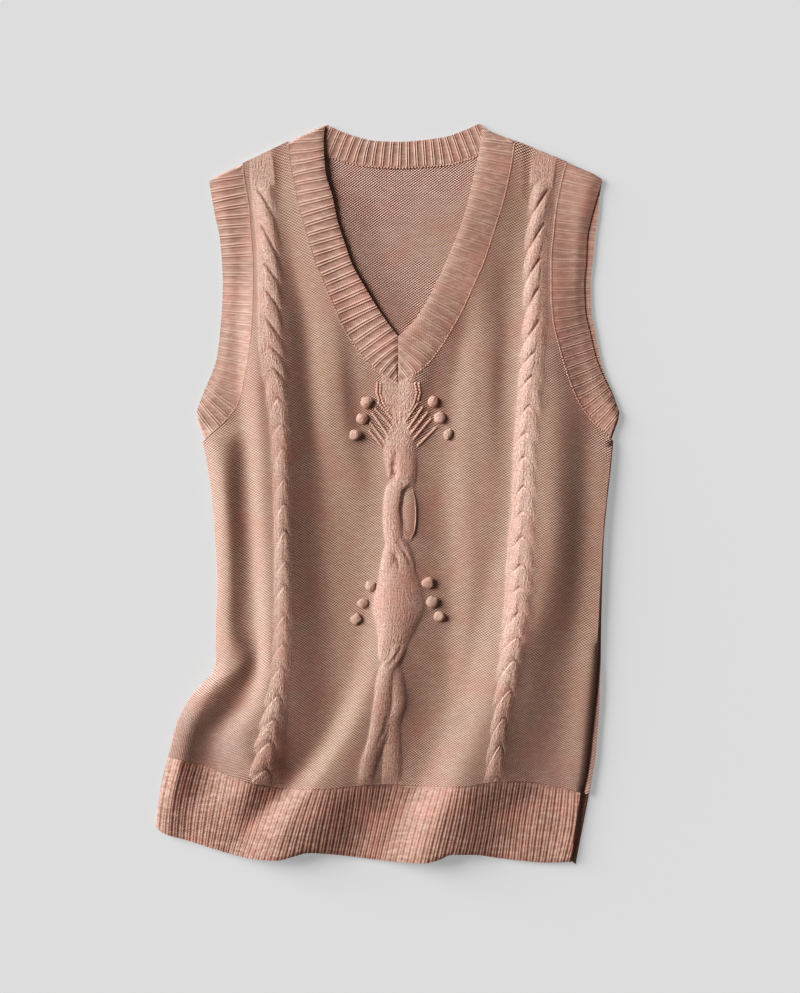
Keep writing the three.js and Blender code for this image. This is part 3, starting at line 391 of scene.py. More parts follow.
def wool(name, light, dark, depth, plain=0.0, extra=None):
    """A knitted wool material. Plain is a number or a mask's name, and extra changes height and shade."""
    material = bpy.data.materials.new(name)
    material.use_nodes = True
    tree = material.node_tree
    shader = tree.nodes["Principled BSDF"]
    coords = tree.nodes.new("ShaderNodeTexCoord")
    stitches = tree.nodes.new("ShaderNodeGroup")
    stitches.node_tree = STITCHES
    tree.links.new(coords.outputs["UV"], stitches.inputs["Stitch"])
    tree.links.new(coords.outputs["Object"], stitches.inputs["Place"])
    if isinstance(plain, str):
        tree.links.new(attribute(tree, plain), stitches.inputs["Plain"])
    else:
        stitches.inputs["Plain"].default_value = plain
    # The stitch height also sets the painted shade: the lower the stitch, the darker its colour
    height = shade = stitches.outputs["Height"]
    if extra:
        height, shade = extra(tree, height, shade)
    colour = tree.nodes.new("ShaderNodeGroup")
    colour.node_tree = HEATHER
    tree.links.new(coords.outputs["Object"], colour.inputs["Place"])
    tree.links.new(shade, colour.inputs["Shade"])
    colour.inputs["Light"].default_value = (*light, 1)
    colour.inputs["Dark"].default_value = (*dark, 1)
    tree.links.new(colour.outputs["Color"], shader.inputs["Base Color"])
    bump = tree.nodes.new("ShaderNodeBump")
    bump.inputs["Distance"].default_value = depth * MM
    tree.links.new(height, bump.inputs["Height"])
    tree.links.new(bump.outputs[0], shader.inputs["Normal"])
    for quality, amount in WOOL_FINISH.items():
        shader.inputs[quality].default_value = amount
    return material


def back_upper_line(x, gap=0.0):
    """Neck seam, less the gap, or shoulder line above a point of the back."""
    between = (x > SHOULDER_LEFT["neck_x"]) & (x < SHOULDER_RIGHT["neck_x"])
    return np.where(between, read(BACK_NECK, "x", "seam", x) - gap, shoulder_at(x))


def back_hem_seam(x):
    """Seam over the back hem: as the front's, and lower in the strip that shows past it."""
    return read(HEM_SEAM, "x", "y", x) - np.maximum(0, x - FRONT_HEM_END) * 0.25


def back_top(x, y):
    """Upper level of the back, which thins out towards the sides."""
    left = read(SIDE, "y", "left", y) + BACK_INSET
    inward = np.minimum(x - left, read(SIDE, "y", "back", y) - x)
    full = np.maximum(ease(inward / EDGE_ROUND), smooth((y - UNDERARM_Y + 6) / 12))
    return mix(EDGE_WALL, WALL, full)


def back_height(x, y):
    """The back falls away softly from the left edge of the V, and lies a little uneven."""
    inside = x - read(NECK_EDGE, "y", "left", np.maximum(y, VEE_EDGE_Y))
    outside = np.hypot(np.minimum(inside, 0), np.minimum(y - VEE_EDGE_Y, 0))
    below_top = np.minimum(smooth((back_upper_line(x) - y) / 60), smooth((shoulder_at(x) - y) / 90))
    rise = BACK_RISE * (1 - smooth(outside / 65)) * (1 - smooth(inside / 42)) * below_top
    wave = np.sin(x / 13 + 0.6) * np.sin(y / 27 + x / 50)
    wave += 0.6 * np.sin((x + y) / 19) + 0.5 * np.sin(y / 8.5 + x / 41)
    beyond_front = smooth((x - read(SIDE, "y", "right", y) - 1) / 3) * smooth((-90 - y) / 80)
    return BACK_WAVE * wave + rise + BACK_STRIP_RISE * beyond_front


def place_back(u, v, outer):
    """Rows run level in the middle of the back, and bend to its upper line above and to the hem below."""
    rows_y = mix(BACK_TOP_Y, HEM_Y, v)
    top_share = smooth(1 - v * 5.2)
    hem_share = smooth((v - 0.8) / 0.2)
    y = rows_y.copy()
    for _ in range(8):
        left_arm = read(ARM_SEAM, "y", "left", y) + HALF_GAP
        right_arm = read(ARM_SEAM, "y", "right", y) - HALF_GAP
        left_side = read(SIDE, "y", "left", y) + BACK_INSET
        left = np.where(y > UNDERARM_Y, left_arm, left_side)
        right = np.where(y > UNDERARM_Y, right_arm, read(SIDE, "y", "back", y))
        x = mix(left, right, u)
        top = back_upper_line(x, HALF_GAP)
        seam = back_hem_seam(x) + HALF_GAP
        y = rows_y + (top - BACK_TOP_Y) * top_share + (seam - HEM_Y) * hem_share
    z = np.where(outer, back_top(x, y) + back_height(x, y) - 0.3, 0)
    stitches = np.column_stack([x / STITCH_WIDTH, (y - (seam - HEM_Y) * hem_share) / STITCH_HEIGHT])
    return np.column_stack([x, y, z]), stitches, {}


# Light is the colour on the stitch tops, partly painted highlight, and dark is the painted shade in the pits;
# the same holds for every wool below
BACK_LIGHT = (1.0, 0.71, 0.62)
BACK_DARK = (0.13, 0.04, 0.026)
back_body = knitted(
    "back_body_knit",
    flat_shell(BACK_GRID["columns"], BACK_GRID["rows"], BACK_GRID["coarse"]),
    place_back,
)
back_body.data.materials.append(wool("back_purl", BACK_LIGHT, BACK_DARK, 1.7))
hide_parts("back_body")
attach(back_body, "root")

# Back hem rib
# A ribbed border linked to the lower edge of the back. Only a strip of it shows past the front on the
# right, and the rest lies flat under the front's hem.

BACK_HEM_GRID = {"columns": 420, "rows": 18, "coarse": 3}
BACK_HEM_RIBS = 67
HEM_HEIGHT = 74
RIB_RELIEF = 0.55
HEM_EDGE = table(
    "x y",
    (-223.8, -318.6),
    (-216, -325),
    (-194, -331.4),
    (-171, -338.8),
    (-148, -345.4),
    (-125, -349.4),
    (-107, -350.2),
    (-90, -346),
    (-77, -343),
    (-56, -344.6),
    (-33, -347.6),
    (-10, -350.4),
    (13, -352.2),
    (34, -352.6),
    (48, -349.6),
    (61, -344.6),
    (82, -345),
    (106, -348.6),
    (129, -351.4),
    (152, -353.2),
    (176.6, -352.2),
)


def rib_profile(phase):
    """Cross section of one rib: two neighbouring columns of plain stitches, then a purl furrow."""
    f = phase - np.floor(phase)
    first = bell((f - 0.27) / 0.3)
    second = bell((f - 0.66) / 0.3)
    return np.maximum(first, second)


def place_back_hem(u, v, outer):
    top_x = mix(-211.4 + BACK_INSET, 193.2, u)
    low_x = mix(-221.4, 180.4, u)
    top_y = back_hem_seam(top_x) - HALF_GAP
    low_y = read(HEM_EDGE, "x", "y", low_x) + 1.6 * bell((low_x + 60) / 260)
    low_y -= np.maximum(0, low_x - 177) * 0.9
    y = mix(top_y, low_y, v)
    x = mix(top_x, low_x, v)
    rib = rib_profile(u * BACK_HEM_RIBS)
    thin = back_top(x, y) / WALL * mix(1, 0.5, smooth((v - 0.93) / 0.07))
    z = np.where(outer, (WALL - 0.3 - RIB_RELIEF + RIB_RELIEF * rib) * thin, 0)
    stitches = np.column_stack([u * BACK_HEM_RIBS * 2, v * HEM_HEIGHT / STITCH_HEIGHT])
    return np.column_stack([x, y, z]), stitches, {"plain": 1 - 0.2 * rib}


RIB_LIGHT = (0.55, 0.36, 0.3)
RIB_DARK = (0.17, 0.075, 0.055)
back_hem = knitted(
    "back_hem_rib_knit",
    flat_shell(BACK_HEM_GRID["columns"], BACK_HEM_GRID["rows"], BACK_HEM_GRID["coarse"]),
    place_back_hem,
)
back_hem.data.materials.append(wool("hem_rib_back", RIB_LIGHT, RIB_DARK, 0.35, plain=1.0))
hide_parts("back_hem_rib")
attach(back_hem, "root")

# Front body
# The front is knitted in one piece with a V neck: purl ground, a rope cable down each side and one in
# the middle under a fan of open chains. It lies over the back in soft folds that run down to the hem.

LAYER_GAP = 0.3
FRONT_FLOOR = WALL + LAYER_GAP
CABLE_HEIGHT = 2.5
VEE_SEAM_Y = 107.5
FRONT_TOP_Y = 340
# Rows of the grid that lie at set levels: the shoulders, the point of the V and the underarms
FRONT_ROWS = table(
    "row y",
    (0, FRONT_TOP_Y),
    (141, 136),
    (162, VEE_SEAM_Y - HALF_GAP - 0.06),
    (201, UNDERARM_Y),
    (423, HEM_Y),
)
VEE_ROW = 162
CABLE_TO_MIDDLE = 118.0
NECK_SLOPE = 0.35
# Columns of the grid from a side edge to the middle
HALF_CELLS = {"side": 15, "cable": 24, "chest": 27, "centre": 24}
NECK_SEAM = table(
    "y left right",
    (341, -96, 121.9),
    (320, -94.3, 119),
    (300, -90.3, 115),
    (275, -85.3, 108.5),
    (250, -78, 100.5),
    (225, -70.6, 92.5),
    (200, -60.3, 81.5),
    (180, -51.6, 72.7),
    (160, -42.3, 61.7),
    (140, -29.3, 49.5),
    (122, -14.3, 34.5),
    (107.5, 9.6, 9.6),
)
ARM_EDGE = table(
    "y left right past",
    (303, -171.9, 205.6, 0),
    (288, -169.4, 201, 2),
    (268, -165.8, 195.4, 6),
    (247, -161.4, 191, 7.4),
    (224, -159.4, 190, 6.4),
    (203, -158.4, 188.2, 6),
    (178, -159.4, 189.1, 6),
    (155, -161.3, 193.8, 5.2),
    (132, -164.2, 199.4, 4),
    (115, -169.8, 206, 2.4),
    (97, -177.6, 215, 1),
    (78, -184.6, 222.8, 0),
)
CABLES = table(
    "y left_out left_in right_in right_out",
    (340, -135, -110, 138.6, 164),
    (283, -131.4, -104.6, 133.8, 159),
    (245, -127.6, -101.8, 129.8, 155),
    (206, -126, -98.9, 127.7, 153),
    (168, -126, -98.5, 127.2, 154),
    (130, -123.8, -96, 124.3, 152),
    (91, -118, -93, 121.4, 149.8),
    (34, -112.8, -90.2, 118, 144.8),
    (-5, -111.4, -89.2, 116, 144),
    (-62, -111.2, -88.6, 112, 142),
    (-101, -111.4, -88.3, 109.6, 139.2),
    (-143, -112.3, -88.5, 105.6, 134.4),
    (-176, -115.2, -91.8, 102, 128),
    (-199, -119, -94, 99.6, 122.4),
    (-224, -124.8, -95.6, 97, 117),
    (-247, -129.8, -97.4, 93.6, 114.4),
    (-286, -138, -101.6, 88.4, 113),
)
# Crossings of each rope counted downwards, and how far its petals' tips lie across it
LEFT_ROPE = table(
    "y crossing tip",
    (340, -1.4, -0.5),
    (292.8, 0, -0.5),
    (256.3, 1, -0.45),
    (223.7, 2, -0.4),
    (168, 4, -0.3),
    (119, 6, 0),
    (69.1, 8, 0.15),
    (18.2, 10, 0.2),
    (-34.6, 12, 0.2),
    (-87.4, 14, 0.15),
    (-140.2, 16, 0.1),
    (-190.1, 18, 0.1),
    (-237.1, 20, 0),
    (-284, 22, 0),
)
RIGHT_ROPE = table(
    "y crossing tip",
    (340, -1.4, 0.5),
    (292.8, 0, 0.5),
    (258.2, 1, 0.45),
    (229.4, 2, 0.4),
    (167, 4, 0.3),
    (113.3, 6, 0.05),
    (61.4, 8, -0.1),
    (10.6, 10, -0.1),
    (-40.3, 12, -0.05),
    (-88.3, 14, 0),
    (-134.4, 16, 0.2),
    (-184.3, 18, 0.3),
    (-240, 20, 0.3),
    (-284, 21.6, 0.2),
)
MIDDLE = table(
    "y x half",
    (107.5, 9.6, 20),
    (92, 10, 34),
    (60, 11, 34),
    (43, 11, 24),
    (-19, 9, 20),
    (-62, 9.6, 20),
    (-109, 9, 30),
    (-141, 6, 22),
    (-167, 2, 20),
    (-230, -3, 20),
    (-286, -6, 22),
)
STRANDS = {
    "top": table(
        "y x half height",
        (66, 11, 12, 0.4),
        (52, 11, 15, 1.6),
        (38, 11.5, 16.5, 2.2),
        (22, 13, 15, 2.3),
        (8, 14, 12, 2),
    ),
    "over_upper": table(
        "y x half height",
        (24, 15, 11, 1.5),
        (10, 9.5, 11, 2.3),
        (-4, 5.2, 10, 2.5),
        (-20, 4.2, 9.8, 2.4),
        (-38, 5.4, 10, 2.3),
        (-52, 11, 11, 2.2),
        (-64, 15.5, 10.5, 2),
        (-76, 17, 9.5, 1.3),
    ),
    "eye": table(
        "y x half height",
        (6, 20.5, 3, 0.4),
        (-6, 21, 6.2, 1.2),
        (-20, 20.8, 7.2, 1.3),
        (-34, 20, 6.6, 1.2),
        (-44, 18, 3, 0.4),
    ),
    "under_upper": table(
        "y x half height",
        (-38, 12, 9, 0.6),
        (-48, 6, 9, 1.8),
        (-60, 1.5, 8, 2.3),
        (-74, -0.5, 8, 2),
    ),
    "diamond": table(
        "y x half height",
        (-56, 9.6, 14, 1),
        (-74, 9.6, 18, 2.4),
        (-90, 9.8, 23, 2.8),
        (-109, 9.4, 26, 3),
        (-126, 8, 20, 2.6),
        (-142, 5, 15, 1.6),
        (-152, 4, 13, 0.6),
    ),
    "over_lower": table(
        "y x half height",
        (-136, 10, 9, 0.6),
        (-150, 8, 9, 2),
        (-170, -1, 9.5, 2.2),
        (-199, -5, 9.5, 1.7),
        (-230, -9, 10, 2),
        (-256, -18, 8.5, 1.4),
        (-282, -23, 7, 1),
    ),
    "under_lower": table(
        "y x half height",
        (-136, -2, 8, 0.6),
        (-152, -2, 8, 1.7),
        (-170, 6, 8, 1.2),
        (-199, 11, 7.5, 1.6),
        (-222, 4, 8, 1.2),
        (-250, 4, 9.5, 1.6),
        (-282, 2, 9, 1),
    ),
}
# Creases between the strands in the middle
CREASES = (
    {"width": 5.5, "deep": 1.1, "line": ((7, 38), (5.8, 28), (6.5, 21), (3, 12.5))},
    {"width": 3, "deep": 0.5, "line": ((22, 10), (15, 2), (12.5, -14), (16, -30), (20, -40))},
    {"width": 3, "deep": 0.6, "line": ((9, -44), (17, -57), (21, -66))},
    {"width": 2.5, "deep": 0.4, "line": ((2, -55), (9, -62), (10, -70))},
    {"width": 3, "deep": 0.6, "line": ((12, -146), (7, -156), (0, -164))},
    {"width": 2.5, "deep": 0.4, "line": ((-2, -214), (-4, -226), (-10, -238))},
)
# Panel of plain stitches inside the fan, under the point of the V
FAN_PANEL = table(
    "y left right",
    (107, -6.5, 26),
    (98, -7.2, 27.8),
    (84, -2, 23),
    (75, 3, 20),
    (62, 2, 20),
    (53, -1, 24),
    (44, -5, 28),
)
# Folds that run down the front: middle and width of the flank that rises to the right, then of the
# flank that falls, and the height between them
FOLDS = {
    "left_cable": table(
        "y rise rise_width fall fall_width height",
        (300, -136, 20, -106, 18, 0),
        (226, -131, 24, -99, 22, 3.5),
        (168, -134, 26, -91, 28, 6.6),
        (110, -134, 24, -86, 32, 9),
        (53, -131, 22, -83, 38, 11.2),
        (-5, -129, 21, -81, 46, 12),
        (-62, -125, 22, -78, 50, 12.4),
        (-120, -122, 21, -74, 56, 12.6),
        (-158, -121, 17, -74, 60, 12.4),
        (-197, -131, 26, -77, 68, 13),
        (-235, -153, 36, -87, 78, 13.6),
        (-274, -150, 50, -113, 50, 10.5),
        (-312, -168, 60, -126, 46, 4),
        (-350, -172, 50, -134, 40, 1),
    ),
    "centre": table(
        "y rise rise_width fall fall_width height",
        (80, -8, 26, 36, 24, 0),
        (20, -6, 28, 34, 30, 2.2),
        (-62, -8, 28, 33, 44, 4),
        (-120, -14, 30, 32, 56, 6.5),
        (-158, -21, 28, 30, 64, 8.5),
        (-197, -34, 27, 16, 74, 9.5),
        (-235, -53, 28, -2, 80, 11),
        (-274, -80, 30, -18, 84, 12),
        (-312, -112, 44, -44, 74, 12),
        (-352, -136, 54, -66, 68, 10),
    ),
    "right_cable": table(
        "y rise rise_width fall fall_width height",
        (290, 136, 22, 164, 18, 0),
        (226, 131, 28, 163, 24, 2),
        (168, 131, 36, 168, 34, 4),
        (110, 127, 46, 174, 38, 6.2),
        (53, 124, 58, 178, 40, 9),
        (-5, 119, 62, 178, 42, 11),
        (-62, 112, 64, 174, 46, 12),
        (-120, 101, 64, 164, 54, 12.6),
        (-158, 88, 60, 152, 64, 13),
        (-197, 78, 52, 143, 70, 13.4),
        (-235, 65, 45, 129, 78, 13.6),
        (-274, 48, 42, 116, 88, 13.2),
        (-312, 29, 46, 92, 86, 12.4),
        (-352, 12, 52, 82, 78, 10.5),
    ),
    "right_side": table(
        "y rise rise_width fall fall_width height",
        (60, 198, 16, 212, 14, 0),
        (40, 197, 16, 220, 12, 1.2),
        (-5, 195, 18, 216, 12, 1.5),
        (-62, 191, 18, 212, 12, 1.6),
        (-158, 186, 18, 206, 12, 1.6),
        (-235, 178, 20, 198, 12, 1.6),
        (-312, 171, 20, 188, 12, 1.4),
        (-352, 160, 20, 182, 12, 1.2),
    ),
    "left_side": table(
        "y rise rise_width fall fall_width height",
        (66, -260, 10, -150, 22, 0),
        (53, -260, 10, -144, 24, 5),
        (30, -260, 10, -145, 28, 7.5),
        (-5, -260, 10, -146, 34, 9),
        (-62, -260, 10, -147, 34, 9),
        (-120, -260, 10, -148, 30, 8.5),
        (-140, -260, 10, -140, 24, 7.5),
        (-158, -260, 10, -133, 22, 7.5),
        (-178, -260, 10, -142, 34, 9),
        (-197, -260, 10, -156, 46, 9),
        (-235, -260, 10, -185, 38, 8),
        (-274, -260, 10, -194, 34, 6),
        (-312, -260, 10, -200, 32, 2.6),
        (-345, -260, 10, -202, 30, 1.5),
    ),
    "left_chest": table(
        "y rise rise_width fall fall_width height",
        (260, -90, 18, -68, 20, 0),
        (226, -87, 20, -62, 22, 2),
        (168, -72, 22, -44, 26, 3.6),
        (110, -68, 20, -40, 20, 4),
        (53, -62, 18, -32, 20, 2.8),
        (-5, -46, 22, -20, 24, 1),
        (-30, -44, 22, -18, 24, 0),
    ),
    "middle_chest": table(
        "y rise rise_width fall fall_width height",
        (40, 14, 18, 38, 18, 0),
        (70, 14, 18, 36, 18, 1.4),
        (110, 16, 16, 38, 20, 2.2),
        (130, 20, 16, 40, 20, 1.4),
        (146, 22, 16, 42, 20, 0),
    ),
    "right_chest": table(
        "y rise rise_width fall fall_width height",
        (240, 86, 22, 108, 18, 0),
        (168, 82, 22, 108, 22, 2.4),
        (110, 72, 22, 106, 24, 4),
        (53, 66, 24, 106, 24, 4),
        (-5, 66, 28, 106, 26, 4),
        (-62, 70, 24, 94, 22, 3.2),
        (-120, 66, 20, 84, 18, 2.2),
        (-158, 62, 18, 76, 14, 1.4),
        (-190, 60, 16, 70, 12, 0),
    ),
}
# Width over which the front comes down to the table at its left edge
SIDE_ROLL = 15
SOFT_WAVE = 0.3
NECK_LIFT = 5.2
NECK_LIFT_WIDTH = 85


def edge_left(y):
    side = np.where(y > UNDERARM_Y, -184 + (78 - y) * 0.2, read(SIDE, "y", "left", y))
    return np.where(y > 78, read(ARM_EDGE, "y", "left", y), side)


def edge_right(y):
    side = np.where(y > UNDERARM_Y, 222.6 - (78 - y) * 0.23, read(SIDE, "y", "right", y))
    return np.where(y > 78, read(ARM_EDGE, "y", "right", y), side)


def side_share(x, y):
    """From 0 at the front's side edges to 1 where it has its full thickness."""
    inward = np.minimum(x - edge_left(y), edge_right(y) - x)
    return np.maximum(ease(inward / EDGE_ROUND), smooth((y - UNDERARM_Y + 6) / 12))


def neck_lift(x, y):
    """The front stands up a little along both sides of the V."""
    left = read(NECK_EDGE, "y", "left", y) - x
    right = x - read(NECK_EDGE, "y", "right", y)
    beyond = np.where(y > VEE_EDGE_Y, np.maximum(left, right), np.hypot(x - VEE_X, y - VEE_EDGE_Y))
    near = 1 - smooth(beyond / NECK_LIFT_WIDTH)
    return NECK_LIFT * near * smooth((shoulder_at(x) - y) / 90)


def fold_height(x, y):
    """Height of the front's folds above its lying level."""
    total = np.zeros_like(x)
    for rows in FOLDS.values():
        rise = smooth((x - read(rows, "y", "rise", y)) / read(rows, "y", "rise_width", y) + 0.5)
        fall = smooth((x - read(rows, "y", "fall", y)) / read(rows, "y", "fall_width", y) + 0.5)
        total += read(rows, "y", "height", y) * (rise - fall)
    soft = np.sin(x / 9.3 + 0.4 * np.sin(y / 37)) * np.sin(y / 43 + x / 29)
    total += SOFT_WAVE * (1 + soft + 0.7 * np.sin(x / 15.1 - y / 61))
    side = smooth((x - edge_left(y)) / SIDE_ROLL) * ease((edge_right(y) - x) / EDGE_ROUND)
    return total * side * ease((shoulder_at(x) - y) / 40) + neck_lift(x, y)


def rope(x, y, hand, rows):
    """Height and masks of a rope cable: soft petals that overlap downwards, with a slit beside each tip."""
    outer = read(CABLES, "y", hand + "_out", y)
    inner = read(CABLES, "y", hand + "_in", y)
    across = (2 * x - outer - inner) / np.abs(outer - inner)
    tip = read(rows, "y", "tip", y)
    slit_side = np.where((hand == "left") | (y < -125), 1, -1)
    past = (across - tip) * slit_side
    # The petals are narrow at the chest and round below it
    round_side = smooth((120 - y) / 30)
    # The line between two petals trails down from the tip on both sides
    lean = np.where(past > 0, 0.75 * np.maximum(past, 0) ** 1.1, 0.72 * np.maximum(-past, 0) ** 1.5)
    count = read(rows, "y", "crossing", y)
    phase = count - lean + 0.07 * np.sin(count * 2.3)
    f = phase - np.floor(phase)
    # It is a deep slit on one side of the tip, and shallow on the other
    reach = smooth((past + 0.12) / 0.2) * smooth((mix(1.2, 0.55, round_side) - past) / 0.4)
    depth = np.where(past > 0, reach, np.maximum(reach, 0.2 + 0.25 * round_side))
    to_line = np.minimum(f, 1 - f)
    # The slit mask deepens the groove and also paints shade along it
    slit = bell(to_line / 0.08) * depth
    # The rim is raised a little on the side away from the slit, and its mask adds a painted highlight
    rim = bell((f - 0.07) / 0.07) * np.where(past < 0, smooth(-past / 0.15), 0.25) * round_side
    # Each petal swells between two lines, and its outer edge is scalloped
    swell = np.sin(np.pi * f) ** 0.9
    scallop = np.where(across * slit_side > 0, mix(0.36, 0.1, round_side), mix(0.04, 0.26, round_side))
    edge = 0.98 - scallop * (1 - swell)
    inside = np.clip(1 - (np.abs(across) / edge) ** 2.2, 0, 1)
    # The cloth is pulled flatter along parts of both cables, most at the edge that faces the light
    near_hem = smooth((-150 - y) / 60)
    if hand == "left":
        drawn_flat = smooth((120 - y) / 60) * smooth((y + 230) / 60)
        lit_edge = mix(0.45, 0.9, near_hem)
    else:
        drawn_flat = near_hem
        lit_edge = 0.45
    inside = inside * mix(lit_edge, 1, smooth((across + 1) / 0.9))
    body = 0.62 + 0.38 * swell * (0.4 + 0.6 * depth)
    height = CABLE_HEIGHT * (1 - 0.4 * drawn_flat) * inside * body * (1 - 0.55 * slit) + 0.5 * rim * inside
    # Above the first crossing it is a flat strip of plain stitches
    started = smooth((count + 0.35) / 0.5)
    flat_strip = 0.9 * smooth((1 - np.abs(across)) / 0.16)
    plain = smooth((edge + 0.02 - np.abs(across)) / 0.14)
    return mix(flat_strip, height, started), plain, slit * inside * started, rim * inside * started


def relief(x, y):
    """Raised knitting of the cables and the centre, with masks of plain stitches, of slits and creases that
    get painted shade, and of the rim edges that get a painted highlight.
    """
    ropes = zip(rope(x, y, "left", LEFT_ROPE), rope(x, y, "right", RIGHT_ROPE))
    top, plain, slit, painted_highlight_rims = (np.maximum(left, right) for left, right in ropes)
    for name, rows in STRANDS.items():
        there = (y <= rows["y"].max()) & (y >= rows["y"].min())
        u = (x - read(rows, "y", "x", y)) / read(rows, "y", "half", y)
        arch = np.clip(1 - np.abs(u) ** 2.2, 0, 1) ** 0.85 * there
        cover = smooth((1 - np.abs(u)) / 0.2) * there
        strand = read(rows, "y", "height", y) * arch
        if name == "eye":
            # The eye's thin raised rim also gets a painted highlight
            rim = bell((u - 0.84) / 0.16) * there
            strand = strand + 0.9 * rim
            plain = mix(plain, np.maximum(rim, 0.15), cover)
            painted_highlight_rims = np.maximum(painted_highlight_rims, rim)
        else:
            plain = np.maximum(plain, cover)
        top = np.maximum(top, strand)
    fan = smooth((read(FAN_PANEL, "y", "right", y) - x) / 2)
    fan = fan * smooth((x - read(FAN_PANEL, "y", "left", y)) / 2) * (y > FAN_PANEL["y"].min())
    plain = np.maximum(plain, 0.85 * fan)
    top = np.maximum(top, 0.5 * fan)
    for crease in CREASES:
        for (x1, y1), (x2, y2) in zip(crease["line"], crease["line"][1:]):
            dx, dy = x2 - x1, y2 - y1
            t = np.clip(((x - x1) * dx + (y - y1) * dy) / (dx * dx + dy * dy), 0, 1)
            hollow = bell(np.hypot(x - x1 - t * dx, y - y1 - t * dy) / crease["width"])
            top = top - crease["deep"] * hollow
            # Each crease gets painted shade through the slit mask
            slit = np.maximum(slit, 0.22 * hollow)
    fade = ease((shoulder_at(x) - y) / 20) * ease((y - read(HEM_SEAM, "x", "y", x)) / 10)
    return np.maximum(top, 0) * fade, plain, slit, painted_highlight_rims


def painted_hole_shade_and_rim_highlight(tree, height, shade):
    """Painted shade in the slits between petals, in the creases and in the open holes of the fan and beside
    the cables at the shoulders, and a painted highlight along each petal's rim.
    """
    open_holes = value(tree, "MULTIPLY", attribute(tree, "open"), value(tree, "SUBTRACT", 0.62, height))
    shade = value(tree, "SUBTRACT", shade, value(tree, "MAXIMUM", open_holes, 0.0))
    shade = value(tree, "SUBTRACT", shade, value(tree, "MULTIPLY", attribute(tree, "slit"), 0.5))
    return height, value(tree, "ADD", shade, value(tree, "MULTIPLY", attribute(tree, "rim"), 0.6))


def place_front(u, v, outer):
    """Columns follow the side, the cable and the middle on each half, and the V parts the two halves."""
    half = sum(HALF_CELLS.values())
    column = u * 2 * half
    row = v * FRONT_ROWS["row"][-1]
    left_side = column < half
    step = np.minimum(np.round(column), 2 * half - np.round(column))
    rows_y = np.interp(row, FRONT_ROWS["row"], FRONT_ROWS["y"])
    top_share = np.maximum(0, 1 - (FRONT_TOP_Y - rows_y) / 130) ** 1.5
    hem_share = np.maximum(0, 1 - (rows_y - HEM_Y) / 90) ** 1.3
    sign = np.where(left_side, 1, -1)
    bounds = np.cumsum([0, *HALF_CELLS.values()])
    vee_y = FRONT_ROWS["y"][2]

    def on_side(rows, y, suffix=""):
        """A column of a table for the left half, and another for the right half."""
        return np.where(left_side, read(rows, "y", "left" + suffix, y), read(rows, "y", "right" + suffix, y))

    y = rows_y.copy()
    for _ in range(7):
        outermost = np.where(y > UNDERARM_Y, on_side(ARM_SEAM, y) + sign * HALF_GAP, on_side(SIDE, y))
        seam = on_side(NECK_SEAM, y) - sign * HALF_GAP * (1 + NECK_SLOPE)
        neck = np.where(y > vee_y, seam, read(MIDDLE, "y", "x", y))
        neck = np.where((y > vee_y) & (y < vee_y + 3), mix(VEE_X, neck, (y - vee_y) / 3), neck)
        wide = read(MIDDLE, "y", "half", y)
        wide = np.where(y > vee_y, mix(wide, 8, ease((y - vee_y) / 120)), wide)
        lines = [outermost, on_side(CABLES, y, "_out"), on_side(CABLES, y, "_in"), neck - sign * wide, neck]
        x = np.zeros_like(y)
        for zone in range(4):
            t = np.clip((step - bounds[zone]) / (bounds[zone + 1] - bounds[zone]), 0, 1)
            if zone == 0:
                t = t * (1 - 0.7 * bell((step - 1) / 1.3))
            here = (step >= bounds[zone]) & (step <= bounds[zone + 1])
            x = np.where(here, mix(lines[zone], lines[zone + 1], t), x)
        top = shoulder_at(x) - FRONT_TOP_Y
        hem = read(HEM_SEAM, "x", "y", x) + HALF_GAP - HEM_Y
        y = rows_y + top * top_share + hem * hem_share
    full = side_share(x, y)
    inner = back_top(x, y) + LAYER_GAP + fold_height(x, y) * full
    raised, plain, slit, rim = relief(x, y)
    z = np.where(outer, inner + mix(EDGE_WALL, WALL, full) + raised * full, inner)
    cable = (on_side(CABLES, y, "_in") + on_side(CABLES, y, "_out")) / 2
    middle = read(MIDDLE, "y", "x", y)
    squeeze = mix(CABLE_TO_MIDDLE / np.abs(middle - cable), 1, smooth((y - vee_y) / 120))
    inward = sign * (x - cable)
    columns_out = np.where(inward > 0, inward * squeeze, inward) - CABLE_TO_MIDDLE
    arch = 0.13 * np.sqrt((x - middle) ** 2 + 60) * (1 - hem_share) * (1 - top_share)
    stitches = np.column_stack([sign * columns_out / STITCH_WIDTH, (rows_y + arch) / STITCH_HEIGHT])
    # The open mask paints shade in the open holes of the fan and beside the cables at the shoulders
    fan = 1.7 * bell((y - 68) / 32) * bell((np.abs(x - 12) - 18) / 16)
    beside = 2.2 * np.where(left_side, bell((x + 106) / 6), bell((x - 132) / 5)) * smooth((y - 278) / 20)
    # The slit and open masks carry painted shade, and the rim mask a painted highlight
    masks = {"plain": plain, "slit": slit, "rim": rim, "open": beside + fan}
    return np.column_stack([x, y, z]), stitches, masks


FRONT_LIGHT = (0.98, 0.675, 0.57)
FRONT_DARK = (0.12, 0.037, 0.024)
front_body = knitted(
    "front_body_knit",
    flat_shell(2 * sum(HALF_CELLS.values()), int(FRONT_ROWS["row"][-1]), 3, VEE_ROW),
    place_front,
)
front_wool = wool("front_knit", FRONT_LIGHT, FRONT_DARK, 2.0, plain="plain", extra=painted_hole_shade_and_rim_highlight)
front_body.data.materials.append(front_wool)
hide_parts("front_body")
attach(front_body, "root")

# Bobbles
# Small wool balls knitted into the front in four slanting rows of three, beside the fan and the smocked
# diamond. Each is a cluster of stitches drawn tight, so it stands up from the ground.

